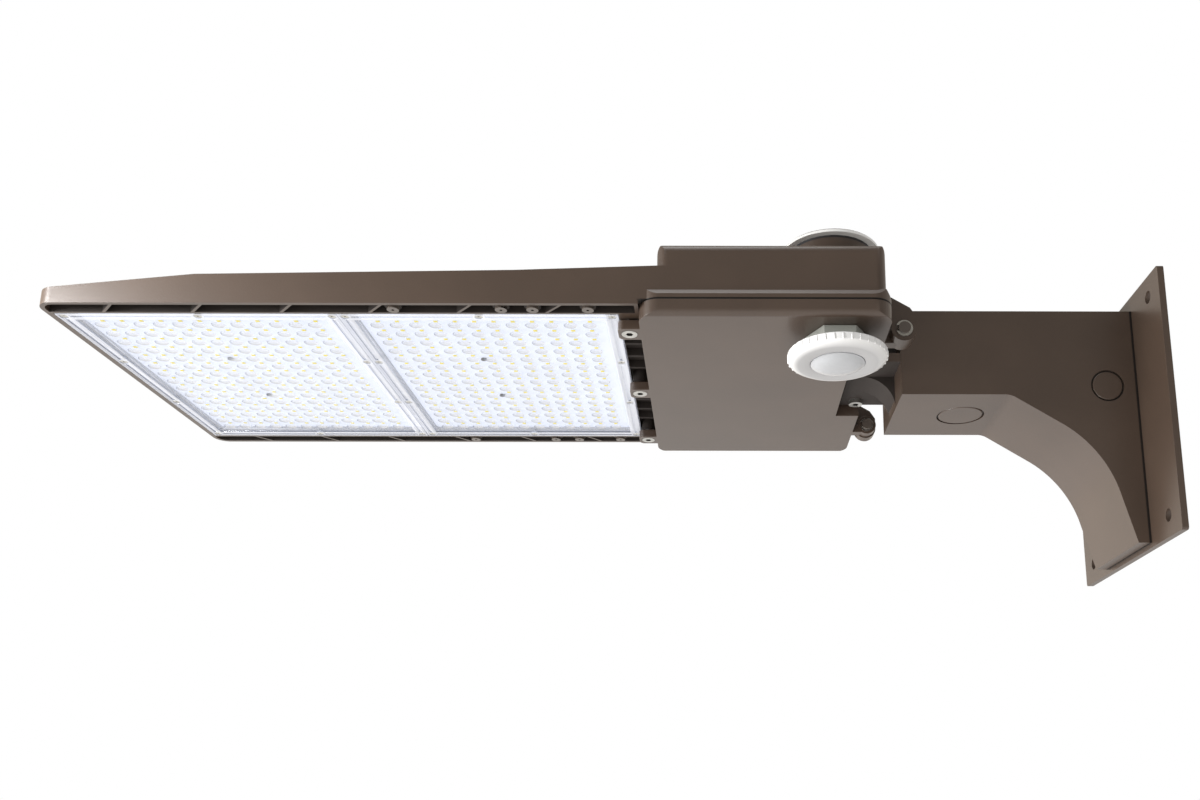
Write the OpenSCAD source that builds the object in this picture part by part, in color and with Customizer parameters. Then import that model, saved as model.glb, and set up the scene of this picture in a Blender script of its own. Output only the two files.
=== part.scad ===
// Pole and wall area light: a flat two-module lamp head on a cast arm with a wall plate.
// The origin is the centre of the plate's back face, which lies on the wall.
// The head reaches out along -X, +Z is up and the Y axis is the hinge direction.

/* [Wall plate] */
// Width of the wall plate, along the wall
plate_w = 217; // [190:1:260]
// Height of the wall plate
plate_h = 229; // [222:1:280]
// Thickness of the wall plate
plate_t = 5.5; // [4:0.5:8]
// Diameter of the four wall bolt holes
plate_hole_d = 11; // [7:0.5:14]
// Distance between the bolt holes along the wall
hole_span_y = 172; // [150:1:180]
// Distance between the bolt holes up the wall
hole_span_z = 193; // [170:1:200]
// Diameter of the supply wire hole
wire_hole_d = 40; // [20:1:60]

/* [Arm] */
// Length of the arm from the plate to its free end
arm_len = 206.5; // [180:1:260]
// Width of the arm
arm_w = 101; // [90:1:106]
// Height of the arm at its free end
arm_h = 78.7; // [70:0.1:90]
// How far the arm's top lies below the plate's top edge
arm_top_drop = 13; // [8:1:20]
// How far the foot ends above the plate's bottom edge
foot_rise = 4; // [3:1:8]
// Depth of the foot where it meets the plate's lower end
foot_depth = 11.2; // [10:0.1:14]
// Length of the level underside, from the free end to the knee
knee_at = 95; // [85:1:110]
// Fall of the underside after the knee, in degrees
slope_angle = 32; // [28:1:36]
// Fall of the underside above the foot, in degrees
foot_angle = 75; // [72:1:78]
// Radius of the large curve on the underside
curve_r = 105; // [70:1:115]
// Radius of the soft knee
knee_r = 18; // [8:1:30]
// Wall thickness of the hollow arm
arm_wall = 4; // [3:0.5:6]
// Diameter of the plug in the arm's side
side_plug_d = 26; // [16:1:34]
// Diameter of the plug in the arm's underside
bottom_plug_d = 40; // [24:1:46]
// Distance of the side plug from the plate
side_plug_at = 26.3; // [22:0.1:40]
// Distance of the side plug below the arm's top
side_plug_drop = 70.3; // [50:0.1:74]
// Distance of the bottom plug from the free end
bottom_plug_at = 62.3; // [40:0.1:66]

/* [Head] */
// Width of the band from the lens to the head's side
side_band = 18.5; // [18:0.5:30]
// Length of the recess between the lens and the door
recess_len = 16.7; // [15:0.1:30]
// How far the lens plane lies below the arm's top
lens_drop = 48; // [40:1:54]
// Height of the housing at its front edge
nose_h = 12.5; // [12.5:0.1:18]
// Height of the housing at the shoulder
shoulder_h = 24.5; // [22:0.1:30]
// Height of the housing where the ramp begins
waist_h = 28.5; // [26:0.1:34]
// Height of the housing where the ramp meets the driver box
ramp_h = 32.5; // [30:0.1:42]
// Place of the shoulder, as a share of the way from the front edge to the driver box
shoulder_share = 0.254; // [0.2:0.001:0.3]
// Place where the ramp starts, as a share of the same way
ramp_share = 0.769; // [0.7:0.001:0.85]
// Radius of the front corners, seen from above
nose_r = 13; // [6:1:20]
// Thickness of the front wall, outside the lens
front_wall = 5; // [3:0.5:8]

/* [Driver box] */
// How far the driver box's front wall lies behind the door's front edge
box_lead = 14; // [10:0.5:24]
// Height of the driver box above the lens plane
box_h = 53.5; // [52:0.1:64]
// How far the box's rear wall stands back from the belt
box_inset = 4.5; // [3.5:0.5:8]
// Height of the belt above the seam, before it flares in
belt_h = 4; // [3:0.1:8]
// Height of the flare from the belt to the head's side
flare_h = 6; // [4:0.1:10]
// How far the belt and the door stand out from the head's side
belt_out = 3; // [2:0.1:5]
// Height of the seam between door and housing above the lens plane
seam_h = 3.4; // [2:0.1:5]
// Wall thickness of the driver box
box_wall = 3.5; // [3:0.5:5]
// Radius of the driver box's edges
box_r = 9; // [5:0.5:12]

/* [Door] */
// Length of the driver door
door_len = 199.5; // [196:0.5:210]
// How far the door stands out below the lens plane
door_drop = 10; // [8:0.5:14]
// Wall thickness of the door
door_wall = 3; // [2.5:0.5:3]
// Radius of the door's corners
door_r = 16; // [10:1:20]
// Gap between the notch in the door and the arm's sides
notch_gap = 3.5; // [3:0.5:6]
// Depth of the notch round the neck
notch_d = 22; // [18:1:26]
// Distance of the hinge axis behind the door's rear edge
hinge_back = 14.5; // [13:0.5:20]
// Height of the hinge axis above the lens plane
hinge_h = -2; // [-4:0.5:2]
// Diameter of the hinge pins
hinge_pin_d = 10; // [8:0.5:11]
// Distance of the hinges from the head's sides
hinge_side = 43; // [40:1:50]
// Distance of the outer door screws from the head's sides
tab_side = 33.5; // [28:0.5:50]

/* [Light modules] */
// Number of light emitting diodes along a module
led_cols = 12; // [8:1:14]
// Number of light emitting diodes across a module
led_rows = 15; // [13:1:18]
// Distance between the diodes along a module
led_pitch_x = 15.75; // [13:0.05:18]
// Distance between the diodes across a module
led_pitch_y = 16.4; // [14:0.1:18]
// Distance from the last diode's cell to the module's end
module_edge_x = 17.5; // [15:0.5:24]
// Distance from the last diode's cell to the module's side
module_edge_y = 15; // [13:0.5:24]
// Diameter of one lens dome
dome_d = 10.6; // [6:0.1:11.5]
// Height of one lens dome
dome_h = 1.5; // [1:0.1:1.9]
// Width of the lens frame
frame_w = 10.5; // [9:0.5:12]
// Number of cooling fins
fin_count = 20; // [8:1:24]
// Height of the cooling fins
fin_h = 13; // [6:0.5:14]

/* [Sensor and receptacle] */
// Diameter of the white sensor ring
sensor_d = 82; // [70:1:88]
// Height of the sensor ring
sensor_h = 10; // [9:0.1:14]
// Height of the hexagonal sensor base
sensor_base_h = 13.5; // [8:0.1:20]
// Width of the sensor base across its flats
sensor_base_w = 45; // [38:1:50]
// Diameter of the sensor's window
sensor_window_d = 44; // [40:1:56]
// Distance of the sensor from the door's rear edge
sensor_in = 40.5; // [38:0.5:60]
// Distance of the sensor from the head's side
sensor_side = 37.5; // [36:0.5:60]
// Distance of the photocell receptacle from the head's side
socket_side = 71.5; // [66:0.5:100]
// Diameter of the photocell receptacle's grey seal
seal_d = 83; // [76:0.5:85]
// Height of the receptacle's neck above the driver box
socket_h = 25; // [18:0.5:30]
// Number of grips round the sensor ring
grip_count = 36; // [16:1:40]

/* [Hidden] */
$fn = 64;

bronze = [0.34, 0.29, 0.26];
overrun = 1;
clearance = 0.3;
slip = 0.05;
// Width over the corners of a hexagon, as a share of its width over the flats
hex_share = 2 / sqrt(3);

// The light modules take their size from the diodes
module_len = led_cols * led_pitch_x + 2 * module_edge_x;
lens_w = led_rows * led_pitch_y + 2 * module_edge_y;

// Heights above the origin
arm_top = plate_h / 2 - arm_top_drop;
arm_bottom = arm_top - arm_h;
foot_z = -plate_h / 2 + foot_rise;
lens_z = arm_top - lens_drop;
seam_z = lens_z + seam_h;
door_z = lens_z - door_drop;
box_top = lens_z + box_h;
hinge_z = lens_z + hinge_h;

// Places along the arm and the head
plate_x = -plate_t;
arm_x = plate_x - arm_len;
hinge_gap = 9;
hinge_x = arm_x - hinge_gap;
door_rear = hinge_x - hinge_back;
door_front = door_rear - door_len;
head_rear = door_rear;
lens_rear_x = door_front - recess_len;
lens_front_x = lens_rear_x - clearance - 2 * module_len;
head_front = lens_front_x - front_wall;
box_rear = head_rear - box_inset;
box_front = door_front + box_lead;
neck_len = arm_x - box_rear;
module_front_x = lens_front_x;
module_rear_x = lens_front_x + module_len;
head_len = head_rear - head_front;
box_len = box_rear - box_front;
shoulder_at = shoulder_share * (box_front - head_front);
ramp_at = ramp_share * (box_front - head_front);

// Widths and places across the head
head_w = lens_w + 2 * side_band;
box_w = head_w;
belt_w = head_w + 2 * belt_out;
sensor_y = head_w / 2 - sensor_side;
socket_y = head_w / 2 - socket_side;
hinge_span = head_w - 2 * hinge_side;
tab_pitch = head_w / 2 - tab_side;
notch_w = arm_w + 2 * notch_gap;

// Arm details
foot_x = plate_x - foot_depth;
knee_x = arm_x + knee_at;
curve_bite = 0.05;
plate_screw_d = 6;
plate_screw_head_d = 11;
plate_screw_head_h = 3;
plate_screw_len = 16;
boss_d = 13;
boss_len = 20;
boss_sink = 1.5;
plug_gap = 1.5;
plug_lip = 2.5;
plug_lip_t = 2;

// Neck details
neck_share = 0.667;
neck_w = neck_share * arm_w;
neck_web_w = neck_w / 2;
neck_web_r = 30;
neck_slot_w = 16;
tongue_t = 8;
tongue_reach = notch_d - box_inset - notch_gap;
tongue_w = arm_w - 2 * clearance;
neck_wall = 6;
neck_top_drop = 10;
neck_screw_edge = 10;
neck_screw_y = tongue_w / 2 - neck_screw_edge;
neck_screw_d = 6;
neck_screw_head_d = 13;
neck_screw_head_h = 4;
neck_screw_len = 15;
neck_bolt_edge = 11;
neck_bolt_y = neck_w / 2 - neck_bolt_edge;
neck_bolt_d = 10;
neck_bolt_head_w = 17;
neck_bolt_head_h = 7;
neck_bolt_up = 28;
neck_bolt_z = lens_z + neck_bolt_up;

// Housing details
rim_w = 12.5;
rim_wall = 3.5;
rim_out = head_w / 2 - rim_wall;
rim_boss_d = 13;
rim_screw_in = 2;
nose_step = 3.6;
rim_depth = 8;
rib_t = 2;
rib_turn = -134;
rib_count = 6;
rib_first_share = 0.1245;
rib_pitch_share = 0.149;
rim_len = door_front - head_front;
rib_first = rib_first_share * rim_len;
rib_pitch = rib_pitch_share * rim_len;
bay_depth = 11;
opening_edge = 10;
gap_depth = 12;
gap_rib_t = 3;
gap_rib_in = 5;
gap_rib_shares = [0.2, 0.4, 0.6, 0.8];
tab_boss_d = 14;
rim_screw_shares = [0.5889, 0.7694, 0.8221, 0.9147];
rim_screw_d = 5;
rim_screw_head_d = 9.4;
rim_screw_head_h = 3;
rim_screw_len = 12;
lug_t = 10;
lug_y = hinge_span / 2;
pin_hole_d = hinge_pin_d + 2 * slip;
lug_r = 10.5;
lug_rise = 33;
lug_nose_rise = 18.5;

// Light module details
edge_r = 1;
sink_t = 3.4;
sink_z = lens_z + bay_depth - sink_t;
fin_t = 2.2;
fin_drop = 2;
fin_gap = 1;
gasket_t = 2;
board_t = 1.6;
chip = 3;
chip_h = 0.8;
panel_up = 2;
panel_t = 2;
dome_seat = panel_up - dome_h;
board_gap = 1;
lens_screw_d = 3;
lens_screw_head_d = 6.4;
lens_screw_head_h = 1.8;
lens_screw_len = 8;
lens_screw_in = 0.4;
sink_screw_d = 4;
sink_screw_head_d = 8;
sink_screw_head_h = 2;
sink_screw_len = 5.6;
lens_boss_d = 10;
groove_w = 2.5;
groove_d = 1.2;
board_screw_cols = 1;
board_screw_rows = 2.5;
board_screw_d = 3;
board_screw_head_d = 5;
board_screw_head_h = 1.2;
board_screw_len = 3.4;

// Driver compartment details
driver_w = 75;
driver_share = 0.671;
driver_len = driver_share * box_w;
driver_h = 36;
driver_foot_len = 10;
driver_foot_t = 3;
driver_screw_d = 4;
driver_screw_head_d = 8;
driver_screw_head_h = 3;
driver_screw_len = 7;
driver_at = 12;
driver_pad_h = 6;
driver_x = box_front + box_wall + driver_at + driver_w / 2;
surge_w = 34;
surge_len = 68;
surge_h = 26;
block_w = 22;
block_len = 52;
block_h = 18;
block_poles = 3;
rear_row_in = 50;
rear_row_x = box_rear - rear_row_in;
surge_share = 0.268;
rear_row_y = surge_share * box_w;

// Door details
tab_len = 18;
tab_w = 19.5;
tab_t = 8;
tab_r = 5;
door_screw_d = 6;
door_screw_head_d = 13;
door_screw_head_h = 1.6;
door_screw_len = 18;
swing_play = 0.6;
hook_t = 10;
hook_r = 9.5;
hook_y = lug_y - lug_t / 2 - clearance - hook_t / 2;
pin_span = lug_t + clearance + hook_t;
pin_end = 3;
pin_groove = 0.7;
groove_pin_d = hinge_pin_d - 2 * pin_groove;
door_edge_r = 5;
door_edge_h = 30;
gasket_h = 3;
gasket_land = 1.5;
gasket_z = seam_z - gasket_h;
clip_t = 1.2;
clip_w = 2.6;
clip_gap = 5;
pin_head_d = 14;
pin_head_t = 3;
gasket_w = 3;
neck_block_x = door_rear - notch_d - door_wall - gasket_w - gasket_land;
neck_block_w = notch_w + 2 * (door_wall + gasket_w + gasket_land);
neck_pad_t = 8;

// Receptacle and sensor details
socket_d = 72;
socket_depth = 12;
socket_flange_t = 2;
seal_t = 2.2;
cap_rim_h = 1;
cap_dome_h = 9;
blade_t = 1.6;
blade_h = 8;
blade_r = 12;
blade_angle = 30;
twist_angle = 20;
blade_play = 4;
ring_taper = 2;
ring_slope = 4;
spigot_d = 30;
spigot_len = 5;
window_drop = 5;
window_seat = 3;
sensor_z = door_z - sensor_base_h;
nut_h = 8;
nut_w = 40;
stem_d = 26;
grip_depth = 1;

// One rounded rectangle, centred, with true arcs at its corners
module rounded(len_x, len_y, r) {
    square([len_x - 2 * r, len_y], center = true);
    square([len_x, len_y - 2 * r], center = true);
    for (sx = [-1, 1], sy = [-1, 1])
        translate([sx * (len_x / 2 - r), sy * (len_y / 2 - r)]) circle(r);
}

// A slab along Z between two heights, from a plan drawn around its centre
module slab(x0, x1, width, z0, z1, r) {
    translate([(x0 + x1) / 2, 0, z0])
        linear_extrude(height = z1 - z0) rounded(x1 - x0, width, r);
}

// A plain block between two corners along X and Z, centred on the Y axis
module block(x0, x1, width, z0, z1) {
    translate([x0, -width / 2, z0]) cube([x1 - x0, width, z1 - z0]);
}

// Extrudes a side view, drawn in X and Z, across the width
module across(width) {
    rotate([90, 0, 0]) linear_extrude(height = width, center = true) children();
}

// A cylinder along Y that starts at y and runs towards +Y
module rod_y(d, len) {
    rotate([-90, 0, 0]) cylinder(d = d, h = len);
}

// A cylinder along X that starts at x and runs towards +X
module rod_x(d, len) {
    rotate([0, 90, 0]) cylinder(d = d, h = len);
}

// A pan head screw that points up from the origin, its head below
module screw_up(d, len, head_d, head_h, drive_d) {
    difference() {
        union() {
            cylinder(d = d, h = len);
            translate([0, 0, -head_h]) cylinder(d = head_d, h = head_h);
        }
        translate([0, 0, -head_h - overrun]) cylinder(d = drive_d, h = head_h / 2 + overrun, $fn = 6);
    }
}

// Direction of the arm's underside when it falls by an angle, towards the plate
function fall(angle) = [cos(angle), -sin(angle)];
// Outward normal of the same line
function outward(angle) = [-sin(angle), -cos(angle)];
function cross2(a, b) = a[0] * b[1] - a[1] * b[0];
// Meeting point of two lines, each given by a point and a fall angle
function meet(p, a, q, b) = p + fall(a) * (cross2(q - p, fall(b)) / cross2(fall(a), fall(b)));

// Fills the hollow corner of the underside with a true arc, which bites a little into both lines
module corner_fill(corner, angle_in, angle_out, r) {
    reach = r * tan((angle_out - angle_in) / 2);
    start = corner - reach * fall(angle_in);
    end = corner + reach * fall(angle_out);
    centre = start + r * outward(angle_in);
    deep = corner - overrun * (outward(angle_in) + outward(angle_out));
    difference() {
        polygon([start, deep, end, centre]);
        translate(centre) circle(r + curve_bite, $fn = 180);
    }
}

// Side view of the arm, drawn smaller by an inset for the hollow inside
module arm_profile(inset) {
    level = [knee_x, arm_bottom + inset];
    slope = [knee_x, arm_bottom] - inset * outward(slope_angle);
    toe = [foot_x, foot_z] - inset * outward(foot_angle);
    knee = meet(level, 0, slope, slope_angle);
    bend = meet(slope, slope_angle, toe, foot_angle);
    heel = meet(toe, foot_angle, [foot_x, foot_z + inset], 0);
    polygon([
        [arm_x + inset, arm_top - inset],
        [plate_x, arm_top - inset],
        [plate_x, foot_z + inset],
        heel, bend, knee,
        [arm_x + inset, arm_bottom + inset]
    ]);
    corner_fill(knee, 0, slope_angle, knee_r + inset);
    corner_fill(bend, slope_angle, foot_angle, curve_r + inset);
}

// Places of the four screws that hold the arm to the plate
module at_plate_screws() {
    for (sy = [-1, 1], z = [arm_top - arm_wall - boss_d / 2, foot_z + arm_wall + 2 * boss_d])
        translate([0, sy * (arm_w / 2 - arm_wall - boss_d / 2 + boss_sink), z]) children();
}

module wall_plate() {
    color(bronze) difference() {
        translate([plate_x, 0, 0]) rotate([90, 0, 90])
            linear_extrude(height = plate_t) rounded(plate_w, plate_h, plug_lip);
        for (sy = [-1, 1], sz = [-1, 1])
            translate([plate_x - overrun, sy * hole_span_y / 2, sz * hole_span_z / 2])
                rod_x(plate_hole_d, plate_t + 2 * overrun);
        translate([plate_x - overrun, 0, 0]) rod_x(wire_hole_d, plate_t + 2 * overrun);
        at_plate_screws() translate([plate_x - overrun, 0, 0])
            rod_x(plate_screw_d + clearance, plate_t + 2 * overrun);
        at_plate_screws() translate([-plate_screw_head_h, 0, 0])
            rod_x(plate_screw_head_d + clearance, plate_screw_head_h + overrun);
    }
}

module plate_screws() {
    color("silver") at_plate_screws() difference() {
        union() {
            translate([-plate_screw_len, 0, 0]) rod_x(plate_screw_d, plate_screw_len);
            translate([-plate_screw_head_h, 0, 0]) rod_x(plate_screw_head_d, plate_screw_head_h);
        }
        translate([-plate_screw_head_h / 2, 0, 0]) rotate([0, 90, 0])
            cylinder(d = plate_screw_d, h = plate_screw_head_h, $fn = 6);
    }
}

module arm() {
    color(bronze) difference() {
        across(arm_w) arm_profile(0);
        difference() {
            across(arm_w - 2 * arm_wall) arm_profile(arm_wall);
            at_plate_screws() translate([plate_x - boss_len, 0, 0]) rod_x(boss_d, boss_len);
        }
        at_plate_screws() translate([-plate_screw_len - clearance, 0, 0])
            rod_x(plate_screw_d + clearance, plate_screw_len);
        translate([plate_x - side_plug_at, -arm_w / 2 - overrun, arm_top - side_plug_drop])
            rod_y(side_plug_d + 2 * plug_gap, plug_lip_t + overrun);
        translate([plate_x - side_plug_at, -arm_w / 2 - overrun, arm_top - side_plug_drop])
            rod_y(side_plug_d - 2 * plug_lip, arm_wall + 2 * overrun);
        translate([arm_x + bottom_plug_at, 0, arm_bottom - overrun])
            cylinder(d = bottom_plug_d + 2 * plug_gap, h = plug_lip_t + overrun);
        translate([arm_x + bottom_plug_at, 0, arm_bottom - overrun])
            cylinder(d = bottom_plug_d - 2 * plug_lip, h = arm_wall + 2 * overrun);
        for (sy = [-1, 1]) translate([arm_x - overrun, sy * neck_bolt_y, neck_bolt_z])
            rod_x(neck_bolt_d + clearance, arm_wall + 2 * overrun);
    }
}

module side_plug() {
    color(bronze) translate([plate_x - side_plug_at, -arm_w / 2, arm_top - side_plug_drop]) {
        rod_y(side_plug_d, plug_lip_t);
        rod_y(side_plug_d - 2 * plug_lip - clearance, arm_wall + plug_lip_t);
    }
}

module bottom_plug() {
    color(bronze) translate([arm_x + bottom_plug_at, 0, arm_bottom]) {
        cylinder(d = bottom_plug_d, h = plug_lip_t);
        cylinder(d = bottom_plug_d - 2 * plug_lip - clearance, h = arm_wall + plug_lip_t);
    }
}

// Places of the two screws that hold the tongue up into the housing
module at_neck_screws() {
    for (sy = [-1, 1]) translate([box_rear, sy * neck_screw_y, lens_z]) children();
}

// The rounded web under the neck, seen from the side
module web_profile() {
    difference() {
        translate([arm_x - neck_web_r, lens_z - neck_web_r]) square([neck_web_r, neck_web_r + overrun]);
        translate([arm_x - neck_web_r, lens_z - neck_web_r]) circle(neck_web_r);
    }
}

module neck() {
    color(bronze) difference() {
        union() {
            block(box_rear - tongue_reach, arm_x, tongue_w, lens_z, lens_z + tongue_t);
            block(box_rear, arm_x, neck_w, lens_z, arm_top - neck_top_drop);
            across(neck_web_w) web_profile();
        }
        block(box_rear - overrun, arm_x + overrun, neck_slot_w,
            lens_z + tongue_t, arm_top - neck_top_drop - neck_wall);
        at_neck_screws() translate([0, 0, -overrun])
            cylinder(d = neck_screw_d + clearance, h = tongue_t + 2 * overrun);
        for (sy = [-1, 1]) translate([box_rear - overrun, sy * neck_bolt_y, neck_bolt_z])
            rod_x(neck_bolt_d + clearance, neck_len + 2 * overrun);
    }
}

module neck_bolts() {
    color("silver") for (sy = [-1, 1])
        translate([box_rear - box_wall - neck_bolt_head_h, sy * neck_bolt_y, neck_bolt_z]) {
            rotate([0, 90, 0]) cylinder(d = neck_bolt_head_w * hex_share, h = neck_bolt_head_h, $fn = 6);
            rod_x(neck_bolt_d, neck_bolt_head_h + box_wall + neck_len + arm_wall);
        }
}

module neck_screws() {
    color("silver") at_neck_screws()
        screw_up(neck_screw_d, neck_screw_len, neck_screw_head_d, neck_screw_head_h, neck_screw_d);
}

// Side view of the housing in front of the driver box and under it
module housing_profile() {
    polygon([
        [head_front, lens_z],
        [head_front, lens_z + nose_h - nose_step],
        [head_front + nose_step, lens_z + nose_h],
        [head_front + shoulder_at, lens_z + shoulder_h],
        [head_front + ramp_at, lens_z + waist_h],
        [box_front, lens_z + ramp_h],
        [box_front + box_r, lens_z + ramp_h],
        [box_front + box_r, seam_z],
        [box_front + box_r, lens_z]
    ]);
}

// The raised box, rounded along all its upper edges by crossing three views
module driver_box() {
    intersection() {
        slab(box_front, box_rear, box_w, seam_z, box_top + overrun, box_r);
        translate([(box_front + box_rear) / 2, 0, box_top - box_h / 2]) across(box_w + overrun)
            rounded(box_len, box_h, box_r);
        translate([box_front, 0, box_top - box_h / 2]) rotate([90, 0, 90])
            linear_extrude(height = box_len) rounded(box_w, box_h, box_r);
    }
}

// The hollow of one side channel, with its diagonal ribs and screw bosses left standing
module rim_channel() {
    difference() {
        intersection() {
            translate([head_front, rim_out - rim_w, lens_z - overrun])
                cube([door_front - head_front - rim_wall, rim_w, rim_depth + overrun]);
            slab(head_front + rim_wall, door_front + nose_r, 2 * rim_out, lens_z - 2 * overrun,
                lens_z + rim_depth, nose_r - rim_wall);
        }
        for (i = [0:rib_count - 1])
            translate([head_front + rib_first + i * rib_pitch, rim_out, lens_z - 2 * overrun]) rotate(rib_turn)
                translate([-rim_w, -rib_t / 2, 0]) cube([3 * rim_w, rib_t, rim_depth + 3 * overrun]);
        for (share = rim_screw_shares)
            translate([head_front + share * rim_len, rim_out - rim_w / 2, lens_z + rim_screw_in])
                cylinder(d = rim_boss_d, h = rim_depth);
    }
}

module at_tabs() {
    for (i = [-1:1]) translate([door_front - tab_len / 2, i * tab_pitch, 0]) children();
}

module at_rim_screws() {
    for (sy = [-1, 1], share = rim_screw_shares)
        translate([head_front + share * rim_len, sy * (rim_out - rim_w / 2), lens_z + rim_screw_in]) children();
}

// Places of the sensor and of the photocell receptacle above it
module at_sensor() {
    translate([door_rear - sensor_in, -sensor_y, 0]) children();
}
module at_socket() {
    translate([door_rear - sensor_in, -socket_y, 0]) children();
}

// Side view of a hinge lug, a triangular ear with a round end
module lug_profile() {
    polygon([
        [box_rear - overrun, seam_z],
        [box_rear - overrun, hinge_z + lug_rise],
        [box_rear, hinge_z + lug_rise],
        [hinge_x + lug_r / 2, hinge_z + lug_nose_rise],
        [hinge_x + lug_r, hinge_z + lug_r],
        [hinge_x + lug_r, hinge_z],
        [hinge_x - lug_r, hinge_z],
        [hinge_x - lug_r, seam_z]
    ]);
    translate([hinge_x, hinge_z]) circle(lug_r);
}

// The belt over the door, which flares in to the head's sides and to the box's rear wall
module belt() {
    flare_z = seam_z + belt_h + flare_h;
    intersection() {
        slab(door_front, head_rear, belt_w, seam_z, flare_z, door_r);
        across(belt_w) polygon([
            [door_front, seam_z],
            [door_front, seam_z + belt_h],
            [door_front + flare_h, flare_z],
            [box_rear - edge_r, flare_z],
            [head_rear, seam_z + belt_h],
            [head_rear, seam_z]
        ]);
        translate([door_front, 0, 0]) rotate([90, 0, 90]) linear_extrude(height = head_rear - door_front) polygon([
            [-belt_w / 2, seam_z],
            [-belt_w / 2, seam_z + belt_h],
            [edge_r - head_w / 2, flare_z],
            [head_w / 2 - edge_r, flare_z],
            [belt_w / 2, seam_z + belt_h],
            [belt_w / 2, seam_z]
        ]);
    }
}

module housing() {
    color(bronze) difference() {
        union() {
            intersection() {
                across(head_w) housing_profile();
                slab(head_front, head_rear, head_w, lens_z - overrun, box_top, nose_r);
            }
            driver_box();
            belt();
            for (sy = [-1, 1]) translate([0, sy * lug_y, 0]) across(lug_t) lug_profile();
            at_socket() translate([0, 0, box_top - box_r]) cylinder(d = socket_d, h = box_r + socket_h);
        }
        block(door_front - clearance, head_rear + overrun, belt_w + overrun, lens_z - overrun, seam_z);
        for (sy = [-1, 1]) translate([hinge_x, sy * lug_y - lug_t, hinge_z]) rod_y(pin_hole_d, 2 * lug_t);
        slab(lens_front_x, lens_rear_x, lens_w + 2 * clearance, lens_z - overrun, lens_z + bay_depth, edge_r);
        block(lens_front_x + opening_edge, lens_rear_x - opening_edge, lens_w - 2 * opening_edge, lens_z, box_top);
        for (side = [0, 1]) mirror([0, side, 0]) rim_channel();
        difference() {
            block(lens_rear_x - overrun, door_front, lens_w - 2 * opening_edge, lens_z - overrun, lens_z + gap_depth);
            at_tabs() translate([0, 0, lens_z]) cylinder(d = tab_boss_d, h = gap_depth + overrun);
            for (sy = [-1, 1], near = gap_rib_shares)
                translate([lens_rear_x - overrun, sy * near * tab_pitch - gap_rib_t / 2, lens_z + gap_rib_in])
                    cube([door_front - lens_rear_x + 2 * overrun, gap_rib_t, gap_depth]);
        }
        driver_room();
        block(box_rear - tongue_reach - clearance, head_rear + overrun, tongue_w + clearance,
            seam_z - overrun, lens_z + tongue_t);
        block(box_rear, head_rear + overrun, neck_w + clearance, seam_z - overrun, box_top);
        at_neck_screws() translate([0, 0, tongue_t - overrun])
            cylinder(d = neck_screw_d + clearance, h = neck_screw_len - tongue_t + overrun + clearance);
        for (sy = [-1, 1]) translate([box_rear - box_wall - overrun, sy * neck_bolt_y, neck_bolt_z])
            rod_x(neck_bolt_d + clearance, box_wall + 2 * overrun);
        at_tabs() translate([0, 0, lens_z - overrun])
            cylinder(d = door_screw_d + 2 * swing_play, h = door_screw_len - tab_t + 2 * overrun + door_screw_head_h);
        at_rim_screws() cylinder(d = rim_screw_d + clearance, h = rim_screw_len + clearance);
        at_sink_screws() translate([0, 0, -sink_screw_len])
            cylinder(d = sink_screw_d + clearance, h = 2 * sink_screw_len + clearance);
        at_driver_screws() translate([0, 0, -overrun])
            cylinder(d = driver_screw_d + clearance, h = driver_screw_len - driver_foot_t + overrun + clearance);
        at_socket() translate([0, 0, box_top - box_wall - overrun])
            cylinder(d = socket_d - 2 * box_wall, h = box_wall + socket_h + 2 * overrun);
    }
}

// The hollow of the driver box, with the block over the neck and the driver's pads left standing
module driver_room() {
    difference() {
        slab(box_front + box_wall, box_rear - box_wall, box_w - 2 * box_wall,
            seam_z - overrun, box_top - box_wall, box_r - box_wall);
        block(neck_block_x, box_rear, neck_block_w, seam_z - 2 * overrun, lens_z + tongue_t + neck_pad_t);
        at_driver_screws() translate([-driver_foot_len, -driver_foot_len, 0])
            cube([2 * driver_foot_len, 2 * driver_foot_len, driver_pad_h + overrun]);
        translate([rear_row_x, 0, box_top - box_wall - driver_pad_h])
            translate([-surge_w / 2, rear_row_y - surge_len / 2, 0]) cube([surge_w, surge_len, driver_pad_h + overrun]);
        translate([rear_row_x, 0, box_top - box_wall - driver_pad_h])
            translate([-block_w / 2, -block_len / 2, 0]) cube([block_w, block_len, driver_pad_h + overrun]);
    }
}

// Places of the screws that hold the heat sink to the ledge round the opening
module at_sink_screws() {
    for (sy = [-1, 1], x = [lens_front_x + opening_edge / 2, lens_rear_x - opening_edge / 2])
        translate([x, sy * lens_w / 3, sink_z]) children();
    for (sy = [-1, 1], i = [-1, 1])
        translate([(lens_front_x + lens_rear_x) / 2 + i * module_len / 4, sy * (lens_w - opening_edge) / 2, sink_z]) children();
}

// Side view of one cooling fin, which follows the slope of the housing's top
module fin_profile() {
    start = lens_front_x + opening_edge + fin_gap;
    rise = (shoulder_h - nose_h) / shoulder_at;
    base = lens_z + bay_depth;
    top = base + fin_h;
    polygon([
        [start, base - fin_drop],
        [start, lens_z + nose_h + rise * (start - head_front) - fin_drop],
        [head_front + (top - lens_z - nose_h) / rise, top - fin_drop],
        [lens_rear_x - opening_edge - fin_gap, top - fin_drop],
        [lens_rear_x - opening_edge - fin_gap, base - fin_drop]
    ]);
}

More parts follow.
